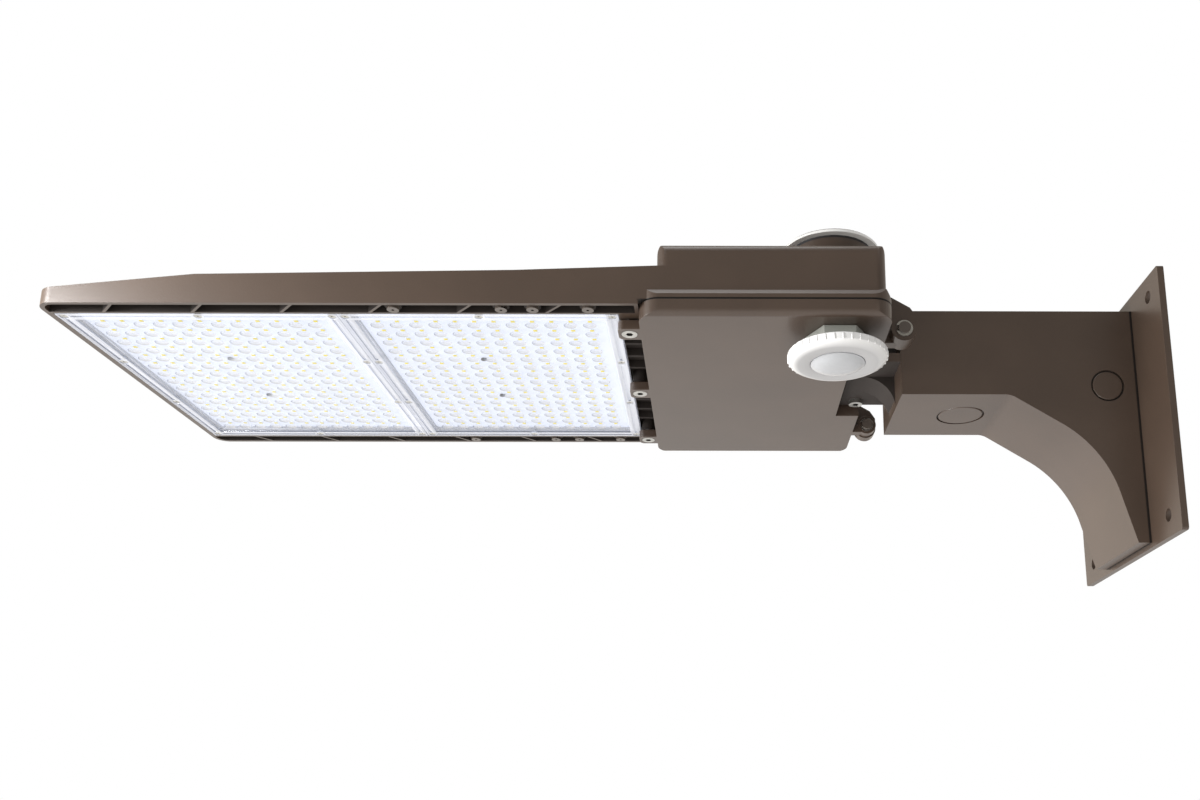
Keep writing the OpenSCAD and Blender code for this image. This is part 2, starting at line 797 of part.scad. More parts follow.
module heat_sink() {
    step = (lens_w - 2 * opening_edge - 2 * fin_t) / (fin_count - 1);
    color(bronze) difference() {
        union() {
            slab(lens_front_x + clearance, lens_rear_x - clearance, lens_w, sink_z, lens_z + bay_depth, edge_r);
            for (i = [0:fin_count - 1])
                translate([0, (i - (fin_count - 1) / 2) * step, 0]) across(fin_t) fin_profile();
        }
        at_sink_screws() translate([0, 0, -overrun])
            cylinder(d = sink_screw_d + clearance, h = sink_t + 2 * overrun);
        at_sink_screws() cylinder(d1 = sink_screw_head_d, d2 = sink_screw_d, h = sink_screw_head_h);
        for (x = [module_front_x, module_rear_x]) {
            at_lens_screws(x) cylinder(d = lens_screw_d + clearance,
                h = lens_screw_in + lens_screw_head_h + lens_screw_len + clearance);
            at_board_screws(x) cylinder(d = board_screw_d + clearance, h = board_screw_len + clearance);
        }
    }
}

module sink_screws() {
    color("silver") at_sink_screws() {
        cylinder(d1 = sink_screw_head_d - clearance, d2 = sink_screw_d, h = sink_screw_head_h);
        cylinder(d = sink_screw_d, h = sink_screw_len);
    }
}

module rim_screws() {
    color("silver") at_rim_screws()
        screw_up(rim_screw_d, rim_screw_len, rim_screw_head_d, rim_screw_head_h, rim_screw_d / 2);
}

// Places of the ten screws of one lens, and of the two screws of its board
module at_lens_screws(x) {
    edge = frame_w / 2;
    for (sy = [-1, 1]) {
        for (dx = [edge, module_len / 2, module_len - edge])
            translate([x + dx, sy * (lens_w / 2 - edge), lens_z]) children();
        for (dx = [edge, module_len - edge])
            translate([x + dx, sy * lens_w / 6, lens_z]) children();
    }
}
module at_board_screws(x) {
    for (i = [-1, 1])
        translate([x + module_len / 2 - board_screw_cols * led_pitch_x, i * board_screw_rows * led_pitch_y,
            sink_z - board_t]) children();
}

// Places of all the diodes of one module, in plan
module at_leds() {
    for (i = [0:led_cols - 1], j = [0:led_rows - 1])
        translate([(i - (led_cols - 1) / 2) * led_pitch_x, (j - (led_rows - 1) / 2) * led_pitch_y]) children();
}

// A rectangular ring around one module
module module_ring(x, inset, width, z0, z1) {
    difference() {
        slab(x + inset, x + module_len - inset, lens_w - 2 * inset, z0, z1, edge_r);
        slab(x + inset + width, x + module_len - inset - width, lens_w - 2 * inset - 2 * width,
            z0 - overrun, z1 + overrun, edge_r);
    }
}

module led_board(x) {
    color("white") difference() {
        union() {
            slab(x + frame_w + board_gap, x + module_len - frame_w - board_gap,
                lens_w - 2 * frame_w - 2 * board_gap, sink_z - board_t, sink_z, edge_r);
            translate([x + module_len / 2, 0, sink_z - board_t - chip_h]) linear_extrude(height = chip_h)
                at_leds() square(chip, center = true);
        }
        at_board_screws(x) translate([0, 0, -overrun])
            cylinder(d = board_screw_d + clearance, h = board_t + 2 * overrun);
    }
}

module board_screws() {
    color([0.2, 0.2, 0.22]) for (x = [module_front_x, module_rear_x])
        at_board_screws(x)
            screw_up(board_screw_d, board_screw_len, board_screw_head_d, board_screw_head_h, board_screw_d / 2);
}

module lens_gasket(x) {
    color([0.1, 0.1, 0.1]) difference() {
        module_ring(x, clearance, frame_w - clearance, sink_z - gasket_t, sink_z);
        at_lens_screws(x) cylinder(d = lens_screw_d + clearance, h = bay_depth);
    }
}

module lens(x) {
    color([0.8, 0.86, 0.9, 0.5]) difference() {
        union() {
            difference() {
                module_ring(x, clearance, frame_w, lens_z, sink_z - gasket_t);
                difference() {
                    module_ring(x, frame_w / 2 - groove_w / 2, groove_w, lens_z - overrun, lens_z + groove_d);
                    at_lens_screws(x) cylinder(d = lens_boss_d, h = groove_d);
                }
            }
            slab(x + frame_w, x + module_len - frame_w, lens_w - 2 * frame_w,
                lens_z + panel_up, lens_z + panel_up + panel_t, edge_r);
            translate([x + module_len / 2, 0, lens_z + dome_seat]) linear_extrude(height = panel_up)
                at_leds() circle(d = dome_d);
        }
        at_lens_screws(x) translate([0, 0, -overrun]) cylinder(d = lens_screw_d + clearance, h = bay_depth);
        at_lens_screws(x) translate([0, 0, -overrun])
            cylinder(d = lens_screw_head_d + clearance, h = lens_screw_head_h + lens_screw_in + overrun);
    }
}

module lens_screws() {
    color("silver") for (x = [module_front_x, module_rear_x])
        at_lens_screws(x) translate([0, 0, lens_screw_in + lens_screw_head_h])
            screw_up(lens_screw_d, lens_screw_len, lens_screw_head_d, lens_screw_head_h, lens_screw_d / 2);
}

// Places of the two screws that hold the driver's feet against the pads
module at_driver_screws() {
    for (sy = [-1, 1])
        translate([driver_x, sy * (driver_len + driver_foot_len) / 2, box_top - box_wall - driver_pad_h]) children();
}

module driver() {
    z = box_top - box_wall - driver_pad_h;
    color([0.75, 0.76, 0.77]) difference() {
        union() {
            translate([driver_x, 0, z - driver_h]) linear_extrude(height = driver_h)
                rounded(driver_w, driver_len, driver_foot_t);
            translate([driver_x, 0, z - driver_foot_t]) linear_extrude(height = driver_foot_t)
                rounded(2 * driver_foot_len, driver_len + 2 * driver_foot_len, driver_foot_t);
        }
        at_driver_screws() translate([0, 0, -driver_foot_t - overrun])
            cylinder(d = driver_screw_d + clearance, h = driver_foot_t + 2 * overrun);
    }
}

module driver_screws() {
    color("silver") at_driver_screws() translate([0, 0, -driver_foot_t])
        screw_up(driver_screw_d, driver_screw_len, driver_screw_head_d, driver_screw_head_h, driver_screw_d / 2);
}

module surge_protector() {
    color([0.15, 0.15, 0.16])
        translate([rear_row_x, rear_row_y, box_top - box_wall - driver_pad_h - surge_h])
            linear_extrude(height = surge_h) rounded(surge_w, surge_len, driver_foot_t);
}

module terminal_block() {
    pole = block_len / block_poles;
    color([0.85, 0.85, 0.8]) translate([rear_row_x, 0, box_top - box_wall - driver_pad_h - block_h])
        difference() {
            translate([-block_w / 2, -block_len / 2, 0]) cube([block_w, block_len, block_h]);
            for (i = [0:block_poles - 1]) translate([0, (i - (block_poles - 1) / 2) * pole, 0]) {
                translate([0, 0, -overrun]) cylinder(d = pole / 2, h = block_h / 2 + overrun);
                translate([-block_w / 2 - overrun, 0, block_h / 2]) rod_x(pole / 3, block_w + 2 * overrun);
            }
        }
}

// Plan of the door with its rear notch, drawn smaller by an inset
module door_plan(inset) {
    difference() {
        translate([(door_front + door_rear) / 2, 0])
            rounded(door_len - 2 * inset, belt_w - 2 * inset, door_r - inset);
        translate([door_rear - notch_d - inset, -notch_w / 2 - inset])
            square([notch_d + 2 * inset + overrun, notch_w + 2 * inset]);
    }
}

// Side view of one hinge hook
module hook_profile() {
    translate([hinge_x, hinge_z]) circle(hook_r);
    translate([door_rear - door_wall, door_z]) square([hinge_back + door_wall, hinge_z - door_z]);
}

module door() {
    color(bronze) difference() {
        union() {
            intersection() {
                translate([0, 0, door_z]) linear_extrude(height = seam_z - clearance - door_z) door_plan(0);
                translate([door_front, 0, door_z + door_edge_h / 2]) rotate([90, 0, 90])
                    linear_extrude(height = door_len) rounded(belt_w, door_edge_h, door_edge_r);
            }
            at_tabs() translate([0, 0, door_z]) linear_extrude(height = tab_t)
                difference() {
                    translate([tab_r / 2, 0]) rounded(tab_len + tab_r, tab_w, tab_r);
                    translate([tab_len / 2 + door_wall, -tab_w]) square([tab_r, 2 * tab_w]);
                }
            for (sy = [-1, 1]) translate([0, sy * hook_y, 0]) across(hook_t) hook_profile();
        }
        difference() {
            translate([0, 0, door_z + door_wall]) linear_extrude(height = door_drop + seam_h) door_plan(door_wall);
            difference() {
                translate([0, 0, door_z]) linear_extrude(height = gasket_z - door_z) door_plan(door_wall - overrun);
                translate([0, 0, door_z - overrun]) linear_extrude(height = door_drop + seam_h)
                    door_plan(door_wall + gasket_w);
            }
        }
        for (sy = [-1, 1]) translate([hinge_x, sy * hook_y - hook_t, hinge_z]) rod_y(pin_hole_d, 2 * hook_t);
        at_tabs() translate([0, 0, door_z - overrun]) {
            cylinder(d = door_screw_d + clearance, h = tab_t + 2 * overrun);
            cylinder(d = door_screw_head_d + 2 * clearance, h = door_screw_head_h + overrun);
        }
        at_sensor() translate([0, 0, door_z - overrun]) cylinder(d = stem_d + clearance, h = door_wall + 2 * overrun);
    }
}

module door_gasket() {
    color([0.1, 0.1, 0.1]) translate([0, 0, gasket_z]) linear_extrude(height = seam_z - gasket_z) difference() {
        door_plan(door_wall + clearance);
        door_plan(door_wall + gasket_w);
    }
}

module door_screws() {
    color("silver") at_tabs() translate([0, 0, door_z + door_screw_head_h])
        screw_up(door_screw_d, door_screw_len, door_screw_head_d, door_screw_head_h, door_screw_d);
}

// The two pins lie mirrored in place but both point the same way
module at_pins() {
    for (y = [-lug_y - lug_t / 2, hook_y - hook_t / 2]) translate([hinge_x, y, hinge_z]) children();
}

module hinge_pins() {
    color("silver") at_pins() difference() {
        union() {
            translate([0, -pin_end, 0]) rod_y(hinge_pin_d, pin_end + pin_span);
            translate([0, pin_span, 0]) rod_y(pin_head_d, pin_head_t);
        }
        translate([0, -clip_t - clearance, 0]) difference() {
            rod_y(pin_head_d, clip_t + clearance / 2);
            translate([0, -overrun, 0]) rod_y(groove_pin_d, clip_t + 2 * overrun);
        }
    }
}

module hinge_clips() {
    color("silver") at_pins() translate([0, -clip_t - clearance / 2, 0]) difference() {
        rod_y(groove_pin_d + 2 * clip_w, clip_t);
        translate([0, -overrun, 0]) rod_y(groove_pin_d + slip, clip_t + 2 * overrun);
        translate([-pin_head_d, -overrun, -clip_gap / 2]) cube([pin_head_d, clip_t + 2 * overrun, clip_gap]);
    }
}

module receptacle() {
    color([0.2, 0.2, 0.21]) at_socket() translate([0, 0, box_top + socket_h]) difference() {
        union() {
            translate([0, 0, -socket_depth]) cylinder(d = socket_d - 2 * box_wall - clearance, h = socket_depth);
            cylinder(d = socket_d, h = socket_flange_t);
        }
        for (i = [0:2]) rotate(i * 120 + blade_angle) translate([0, 0, socket_flange_t - blade_h - overrun])
            rotate_extrude(angle = blade_angle + twist_angle + blade_play)
                translate([blade_r - clearance, 0]) square([blade_t + 2 * clearance, blade_h + 2 * overrun]);
    }
}

module receptacle_seal() {
    color([0.72, 0.73, 0.74]) at_socket() translate([0, 0, box_top + socket_h + socket_flange_t]) difference() {
        cylinder(d = seal_d, h = seal_t);
        translate([0, 0, -overrun]) cylinder(d = socket_d / 2, h = seal_t + 2 * overrun);
    }
}

module receptacle_cap() {
    rim = seal_d - 2 * cap_rim_h;
    ball = (rim * rim / 4 + cap_dome_h * cap_dome_h) / (2 * cap_dome_h);
    color(bronze) at_socket() translate([0, 0, box_top + socket_h + socket_flange_t + seal_t]) {
        cylinder(d = rim, h = cap_rim_h);
        intersection() {
            translate([0, 0, cap_rim_h + cap_dome_h - ball]) sphere(ball);
            translate([0, 0, cap_rim_h / 2]) cylinder(d = rim, h = cap_dome_h + cap_rim_h);
        }
        for (i = [0:2]) rotate(i * 120 + blade_angle + blade_play / 2) translate([0, 0, -seal_t - blade_h])
            rotate_extrude(angle = blade_angle)
                translate([blade_r, 0]) square([blade_t, blade_h + seal_t + overrun]);
    }
}

module sensor_base() {
    color([0.3, 0.31, 0.32]) at_sensor() {
        translate([0, 0, sensor_z]) cylinder(d = sensor_base_w * hex_share, h = sensor_base_h, $fn = 6);
        translate([0, 0, door_z - overrun]) cylinder(d = stem_d, h = overrun + door_wall + nut_h + clearance);
        translate([0, 0, sensor_z - spigot_len]) cylinder(d = spigot_d, h = spigot_len + overrun);
    }
}

module sensor_nut() {
    color([0.3, 0.31, 0.32]) at_sensor() translate([0, 0, door_z + door_wall]) difference() {
        cylinder(d = nut_w * hex_share, h = nut_h, $fn = 6);
        translate([0, 0, -overrun]) cylinder(d = stem_d + clearance, h = nut_h + 2 * overrun);
    }
}

module sensor_ring() {
    ring_z = sensor_z - clearance - sensor_h;
    color("white") at_sensor() translate([0, 0, ring_z]) difference() {
        union() {
            cylinder(d1 = sensor_d - 2 * ring_slope, d2 = sensor_d, h = ring_slope);
            translate([0, 0, ring_slope]) cylinder(d = sensor_d, h = sensor_h - ring_slope - ring_taper);
            translate([0, 0, sensor_h - ring_taper])
                cylinder(d1 = sensor_d, d2 = sensor_d - 2 * ring_taper, h = ring_taper);
        }
        translate([0, 0, sensor_h - spigot_len - clearance]) cylinder(d = spigot_d + 2 * slip, h = spigot_len + overrun);
        translate([0, 0, -overrun]) cylinder(d = sensor_window_d, h = window_seat + overrun);
        for (i = [0:grip_count - 1]) rotate(i * 360 / grip_count)
            translate([sensor_d / 2 + grip_depth, 0, -overrun]) cylinder(r = 2 * grip_depth, h = sensor_h + 2 * overrun);
    }
}

module sensor_window() {
    rim = sensor_window_d - clearance;
    ball = (rim * rim / 4 + window_drop * window_drop) / (2 * window_drop);
    color([0.9, 0.92, 0.94, 0.7]) at_sensor() translate([0, 0, sensor_z - clearance - sensor_h]) {
        cylinder(d = rim, h = window_seat);
        intersection() {
            translate([0, 0, ball - window_drop]) sphere(ball);
            translate([0, 0, -window_drop]) cylinder(d = rim, h = window_drop + window_seat / 2);
        }
    }
}

wall_plate();
arm();
plate_screws();
side_plug();
bottom_plug();
neck();
neck_bolts();
neck_screws();
housing();
heat_sink();
sink_screws();
rim_screws();
led_board(module_front_x);  // led_board_front
led_board(module_rear_x);  // led_board_rear
board_screws();
lens_gasket(module_front_x);  // lens_gasket_front
lens_gasket(module_rear_x);  // lens_gasket_rear
lens(module_front_x);  // lens_front
lens(module_rear_x);  // lens_rear
lens_screws();
driver();
driver_screws();
surge_protector();
terminal_block();
door();
door_gasket();
door_screws();
hinge_pins();
hinge_clips();
receptacle();
receptacle_seal();
receptacle_cap();
sensor_base();
sensor_nut();
sensor_ring();
sensor_window();
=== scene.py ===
# %% [markdown]
# # An area light on its wall arm, dressed for a studio picture
# The hard parts come from the packed frame and are already exact. This lesson gives them their finishes
# and adds what a casting drawing leaves out: the diodes' yellow faces, lenslets, grips and soft edges.
# Everything is in metres. The wall plate's back face lies on x = 0 and the lamp reaches out along -X.

# %% Load the frame
import bpy
import bmesh
import math
from mathutils import Vector, Matrix


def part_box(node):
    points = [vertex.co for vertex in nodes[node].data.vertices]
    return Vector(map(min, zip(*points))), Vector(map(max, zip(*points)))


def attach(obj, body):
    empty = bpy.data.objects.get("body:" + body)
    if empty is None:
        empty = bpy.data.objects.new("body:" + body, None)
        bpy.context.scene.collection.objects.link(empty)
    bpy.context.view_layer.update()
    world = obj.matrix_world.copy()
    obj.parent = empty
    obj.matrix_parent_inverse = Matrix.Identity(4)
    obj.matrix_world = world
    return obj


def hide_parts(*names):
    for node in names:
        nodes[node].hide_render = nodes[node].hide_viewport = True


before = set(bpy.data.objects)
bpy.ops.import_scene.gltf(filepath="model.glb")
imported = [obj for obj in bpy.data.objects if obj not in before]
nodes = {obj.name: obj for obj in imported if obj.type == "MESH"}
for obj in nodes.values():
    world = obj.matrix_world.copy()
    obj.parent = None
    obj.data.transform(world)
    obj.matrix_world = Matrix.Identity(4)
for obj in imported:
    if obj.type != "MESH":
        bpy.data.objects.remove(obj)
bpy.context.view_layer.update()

# %% [markdown]
# ## A small language for shaders
# Blender's finishes are graphs of nodes, and each sum in one is a node with two links. They could be wired by hand,
# line after line, but then the recipe of a finish is hard to see. `Value` wraps an output socket, so that
# noise * 0.5 + 0.2 reads as maths and adds its own nodes.

# %% Values that can be added up
class Value:
    """One output socket that takes part in ordinary arithmetic."""

    def __init__(self, tree, socket):
        self.tree, self.socket = tree, socket

    def _maths(self, kind, first, second=None):
        return self.tree.maths(kind, first, second)

    def __add__(self, other):
        return self._maths("ADD", self, other)

    def __radd__(self, other):
        return self._maths("ADD", other, self)

    def __sub__(self, other):
        return self._maths("SUBTRACT", self, other)

    def __rsub__(self, other):
        return self._maths("SUBTRACT", other, self)

    def __mul__(self, other):
        return self._maths("MULTIPLY", self, other)

    def __rmul__(self, other):
        return self._maths("MULTIPLY", other, self)

    def __pow__(self, other):
        return self._maths("POWER", self, other)


print("values ready:", Value.__doc__)

# %% [markdown]
# `Tree` holds one finish. Its `add` makes any node: the settings are written first, then every input gets a value or
# a link. The measures read the point's own coordinates, so a pattern stays on its piece wherever the piece moves.

# %% The tree of one finish
class Tree:
    """A material's node tree with one maker for every node."""

    def __init__(self, name):
        self.material = bpy.data.materials.new(name)
        self.material.use_nodes = True
        self.nodes = self.material.node_tree.nodes
        self.links = self.material.node_tree.links
        self.nodes.clear()
        self.out = self.nodes.new("ShaderNodeOutputMaterial")
        self.place = Value(self, self.nodes.new("ShaderNodeTexCoord").outputs["Object"])

    def add(self, kind, settings=None, out=0, **inputs):
        node = self.nodes.new(kind)
        for key, val in (settings or {}).items():
            setattr(node, key, val)
        for key, val in inputs.items():
            self.put(node, key.replace("_", " "), val)
        return Value(self, node.outputs[out])

    def put(self, node, key, val):
        socket = node.inputs[int(key[1:])] if key[1:].isdigit() else node.inputs[key]
        if isinstance(val, Value):
            self.links.new(val.socket, socket)
        else:
            socket.default_value = val

    def maths(self, kind, first, second=None):
        node = self.nodes.new("ShaderNodeMath")
        node.operation = kind
        for i, val in enumerate((first, second)):
            if val is not None:
                self.put(node, f"#{i}", val)
        return Value(self, node.outputs[0])

    def noise(self, scale, detail):
        return self.add("ShaderNodeTexNoise", None, 0, Vector=self.place, Scale=scale, Detail=detail, Roughness=0.5)

    def ramp(self, value, low, high, to_low=0.0, to_high=1.0):
        return self.add("ShaderNodeMapRange", {"clamp": True}, 0, Value=value,
                        From_Min=low, From_Max=high, To_Min=to_low, To_Max=to_high)

    def along(self, axis):
        """The point's own place along one axis: 0 is x, 1 is y, 2 is z."""
        return self.add("ShaderNodeSeparateXYZ", None, axis, Vector=self.place)

    def away(self, centre, axes):
        """How far a point lies from `centre`, measured along the two axes alone."""
        total = 0.0
        for axis in axes:
            step = self.along(axis) - centre[axis]
            total = step * step + total
        return total ** 0.5

    def facing(self, axis):
        """The surface normal's share along one axis."""
        return self.add("ShaderNodeSeparateXYZ", None, axis, Vector=self.add("ShaderNodeNewGeometry", None, 1))

    def blend(self, factor, first, second):
        node = self.nodes.new("ShaderNodeMix")
        node.data_type = "RGBA"
        self.put(node, "#0", factor)
        self.put(node, "#6", first)
        self.put(node, "#7", second)
        return Value(self, node.outputs[2])

    def bump(self, height, strength, distance):
        return self.add("ShaderNodeBump", None, 0, Height=height, Strength=strength, Distance=distance)

    def finish(self, **inputs):
        shader = self.nodes.new("ShaderNodeBsdfPrincipled")
        for key, val in inputs.items():
            self.put(shader, key.replace("_", " "), val)
        self.links.new(shader.outputs[0], self.out.inputs["Surface"])
        return self.material


print("a finish's tree can", [name for name in vars(Tree) if not name.startswith("_")])

# %% [markdown]
# A colour read off a screen isn't the light that shaders mix, because screens squeeze the dark tones. So every
# colour is written as it looks and turned into linear light here.

# %% Colours
def rgb(r, g, b):
    """A colour as read off a screen, 0 to 255, turned into the linear light that shaders mix."""
    linear = [c / 255 / 12.92 if c <= 10 else ((c / 255 + 0.055) / 1.055) ** 2.4 for c in (r, g, b)]
    return tuple(linear) + (1.0,)


def scaled(colour, factor):
    """The same colour, lighter or darker, and never past white."""
    return tuple(min(1.0, c * factor) for c in colour[:3]) + (1.0,)


print("mid grey as light:", round(rgb(128, 128, 128)[0], 3))

# %% [markdown]
# ## The camera
# The picture looks up at the lamp from below and from one side, and the horizon lies under the lower edge.
# A camera that tilts by the whole angle would make the upright edges lean, so it tilts by a part of it and
# takes the rest as lens shift, as a studio camera does. The numbers come from matching corners of the model
# with the same corners in the photograph.

# %% Camera
TILT, YAW = math.radians(12.38), -0.0045
CAMERA_PLACE = (-0.3747, -0.9045, -0.3320)
FOCAL_PX, PICTURE_PX, SENSOR_MM = 1045.3, 1200, 36.0
SHIFT_X, SHIFT_Y = -0.0998, 0.1513
cam_data = bpy.data.cameras.new("studio_camera")
cam_data.sensor_width = SENSOR_MM
cam_data.lens = FOCAL_PX * SENSOR_MM / PICTURE_PX
cam_data.shift_x, cam_data.shift_y = SHIFT_X, SHIFT_Y
cam_data.clip_start, cam_data.clip_end = 0.01, 50.0
camera = bpy.data.objects.new("studio_camera", cam_data)
camera.location = CAMERA_PLACE
camera.rotation_euler = (math.pi / 2 + TILT, 0.0, YAW)
bpy.context.scene.collection.objects.link(camera)
bpy.context.scene.camera = camera
print("lens", round(cam_data.lens, 2), "shift", round(cam_data.shift_y, 3))

# %% [markdown]
# ## The floor
# A studio photograph of a dark lamp lives from what the lamp mirrors. Its undersides look along the floor at a
# flat angle, so a broad sheet of pale paper makes them bright. A picture of a studio wrapped round the scene could
# do it too, but a sheet with a real place also gives the right light from below. It glows more on the left, where
# the brightest lamp stood, and that puts the lightest tone on the arm's curve.

# %% Floor
FLOOR_HALF, FLOOR_Z = 9, -0.9
GLOW_FROM, GLOW_TO = -1.1, 0.4
GLOW_LEFT, GLOW_RIGHT = (1.0, 0.955, 0.90, 1.0), (0.36, 0.344, 0.322, 1.0)


def paper(name, colour):
    t = Tree(name)
    speck = t.noise(3.0, 3.0)
    tint = t.blend(t.ramp(speck, 0.3, 0.7), colour, scaled(colour, 0.97))
    glow = t.blend(t.ramp(t.along(0), GLOW_FROM, GLOW_TO), GLOW_LEFT, GLOW_RIGHT)
    return t.finish(Base_Color=tint, Roughness=0.8, Emission_Color=glow, Emission_Strength=0.5)


floor_mesh = bpy.data.meshes.new("studio_floor")
corners = [(x * FLOOR_HALF, y * FLOOR_HALF, FLOOR_Z) for x, y in ((-1, -1), (1, -1), (1, 1), (-1, 1))]
floor_mesh.from_pydata(corners, [], [(0, 1, 2, 3)])
floor = bpy.data.objects.new("studio_floor", floor_mesh)
floor_mesh.materials.append(paper("studio_paper", rgb(236, 234, 232)))
bpy.context.scene.collection.objects.link(floor)
floor.visible_shadow = False
print("floor at", FLOOR_Z, "half side", FLOOR_HALF)

# %% [markdown]
# ## The surroundings
# The world is plain white where the camera sees it. What the coats mirror is not: in a studio the side behind
# the camera and the ceiling are dark, and only the sweep behind the lamp is bright. Dark cards could be hung there,
# but other views would see them. So the strength depends on the kind of ray instead, and for mirrored rays also on
# where they go.

# %% World
world = bpy.data.worlds.new("studio_air")
bpy.context.scene.world = world
world.use_nodes = True
air = world.node_tree.nodes["Background"]
seen = world.node_tree.nodes.new("ShaderNodeLightPath")
AMBIENT, MIRRORED, BEHIND_CAMERA, CEILING = 0.54, 1.02, 0.42, 0.35
BACKDROP_FROM, BACKDROP_TO, CEILING_FROM, CEILING_TO = -0.6, 0.2, 0.15, 0.6
WHITE, WARM = (1.0, 1.0, 1.0, 1.0), (1.0, 0.92, 0.82, 1.0)


def air_node(kind, links=(), **values):
    """One node of the world's tree: its links go in by socket number, its values by socket name."""
    node = world.node_tree.nodes.new(kind)
    for index, source in links:
        world.node_tree.links.new(source, node.inputs[index])
    for key, val in values.items():
        node.inputs[key.replace("_", " ")].default_value = val
    return node


direction = air_node("ShaderNodeTexCoord")
split = air_node("ShaderNodeSeparateXYZ", [(0, direction.outputs["Generated"])])
backdrop = air_node("ShaderNodeMapRange", [(0, split.outputs[1])], From_Min=BACKDROP_FROM,
                    From_Max=BACKDROP_TO, To_Min=BEHIND_CAMERA, To_Max=MIRRORED)
overhead = air_node("ShaderNodeMapRange", [(0, split.outputs[2])], From_Min=CEILING_FROM,
                    From_Max=CEILING_TO, To_Min=1.0, To_Max=CEILING)
mirrored = air_node("ShaderNodeMath", [(0, backdrop.outputs[0]), (1, overhead.outputs[0])])
mirrored.operation = "MULTIPLY"
diffuse_or_gloss = air_node("ShaderNodeMix", [(0, seen.outputs["Is Glossy Ray"]), (3, mirrored.outputs[0])])
diffuse_or_gloss.inputs[2].default_value = AMBIENT
whole = air_node("ShaderNodeMix", [(0, seen.outputs["Is Camera Ray"]), (2, diffuse_or_gloss.outputs[0])])
whole.inputs[3].default_value = 1.0
world.node_tree.links.new(whole.outputs[0], air.inputs["Strength"])
hue = air_node("ShaderNodeMix", [(0, seen.outputs["Is Glossy Ray"])])
hue.data_type = "RGBA"
hue.inputs[6].default_value, hue.inputs[7].default_value = WHITE, WARM
world.node_tree.links.new(hue.outputs[2], air.inputs["Color"])
bpy.context.scene.view_settings.view_transform = "Standard"
print("world: diffuse light", AMBIENT, "mirrored light", BEHIND_CAMERA, "to", MIRRORED)

# %% [markdown]
# ## The lamps
# Four lights finish the set. A small disk brightens the head's nose and a large one overhead stands for the room.
# A spot in a snoot lifts the arm from below, and a broad sun stands for the white sweep under the table. The last
# two shine through the floor, which casts no shadow. Glowing cards could take their place, but lamps that the camera
# can't see give the same soft light with less grain.

# %% Lamps
SNOOT_PLACE, SNOOT_TARGET = (-0.86, -0.25, -0.80), (-0.09, 0.0, -0.03)
SNOOT_POWER, SNOOT_CONE, SNOOT_SOFTNESS = 58.0, 0.42, 0.3
SWEEP_POWER, SWEEP_ANGLE, SWEEP_WAY = 1.15, 0.7, (0.90, 0.10, 0.42)


def hang(name, data, where, way):
    """Hangs a light at a place and turns it along a direction."""
    obj = bpy.data.objects.new(name, data)
    obj.location = where
    obj.rotation_euler = Vector(way).to_track_quat("-Z", "Y").to_euler()
    bpy.context.scene.collection.objects.link(obj)
    return obj


def soft_disk(name, where, target, size, power):
    data = bpy.data.lights.new(name, "AREA")
    data.shape, data.size, data.energy = "DISK", size, power
    hang(name, data, where, Vector(target) - Vector(where)).visible_camera = False


soft_disk("soft_nose", where=(-1.16, -0.43, 0.08), target=(-0.85, -0.15, 0.08), size=0.25, power=7.0)
soft_disk("soft_top", where=(-0.6, -0.5, 2.2), target=(-0.4, 0.0, 0.1), size=1.5, power=14.0)

snoot = bpy.data.lights.new("snooted_lamp", "SPOT")
snoot.energy, snoot.spot_size, snoot.shadow_soft_size = SNOOT_POWER, SNOOT_CONE, SNOOT_SOFTNESS
snoot.spot_blend = 1.0
hang("snooted_lamp", snoot, SNOOT_PLACE, Vector(SNOOT_TARGET) - Vector(SNOOT_PLACE)).visible_camera = False

sweep = bpy.data.lights.new("white_sweep", "SUN")
sweep.energy, sweep.angle = SWEEP_POWER, SWEEP_ANGLE
hang("white_sweep", sweep, (0.0, 0.0, 0.0), SWEEP_WAY)

# %% [markdown]
# ## Finishes
# The castings carry a dark bronze powder coat: a thin, slightly grainy film whose surface rolls like fine orange
# peel. A scanned texture would need every face unrolled. Noise in the piece's own coordinates needs nothing, so two
# noises give the roll and the grain, and a slow third one keeps large flat faces from looking computed.

# %% Powder coat
BRONZE, RECESS_SHADE_BRONZE, SCREW_BRONZE = rgb(72, 58, 48), rgb(44, 37, 33), rgb(88, 79, 72)
# The next two colours are painted shade, for the seams and for the grooves round the plugs.
SEAM_SHADE, GROOVE_SHADE = rgb(12, 10, 9), rgb(16, 14, 13)
TINT_SCALE, PEEL_SCALE, GRAIN_SCALE = 14.0, 650.0, 2600.0
PLUG_BEVEL, HOLE_EDGE, FADE = 0.0006, 0.0016, 0.0005


def groove_shade_band(t, node, axis):
    """One in the narrow ring between a round plug and its hole, where shade is painted, nought elsewhere."""
    low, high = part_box(node)
    middle, reach = (low + high) / 2, (high.x - low.x) / 2
    away = t.away(middle, [other for other in range(3) if other != axis])
    near = t.ramp(t.along(axis), high[axis] + 0.004, high[axis] + 0.002)
    inner = t.ramp(away, reach - PLUG_BEVEL, reach - PLUG_BEVEL + FADE)
    outer = t.ramp(away, reach + HOLE_EDGE, reach + HOLE_EDGE - FADE)
    return inner * outer * near


def seam_shade_band(t, axis, start, end, span):
    """One between two places on an axis, and only within a span of x: where a seam's shade is painted."""
    depth, across = t.along(axis), t.along(0)
    band = t.ramp(depth, start, start + 0.0002) * t.ramp(depth, end, end - 0.0002)
    return band * t.ramp(across, span[0], span[0] + 0.004) * t.ramp(across, span[1], span[1] - 0.001)


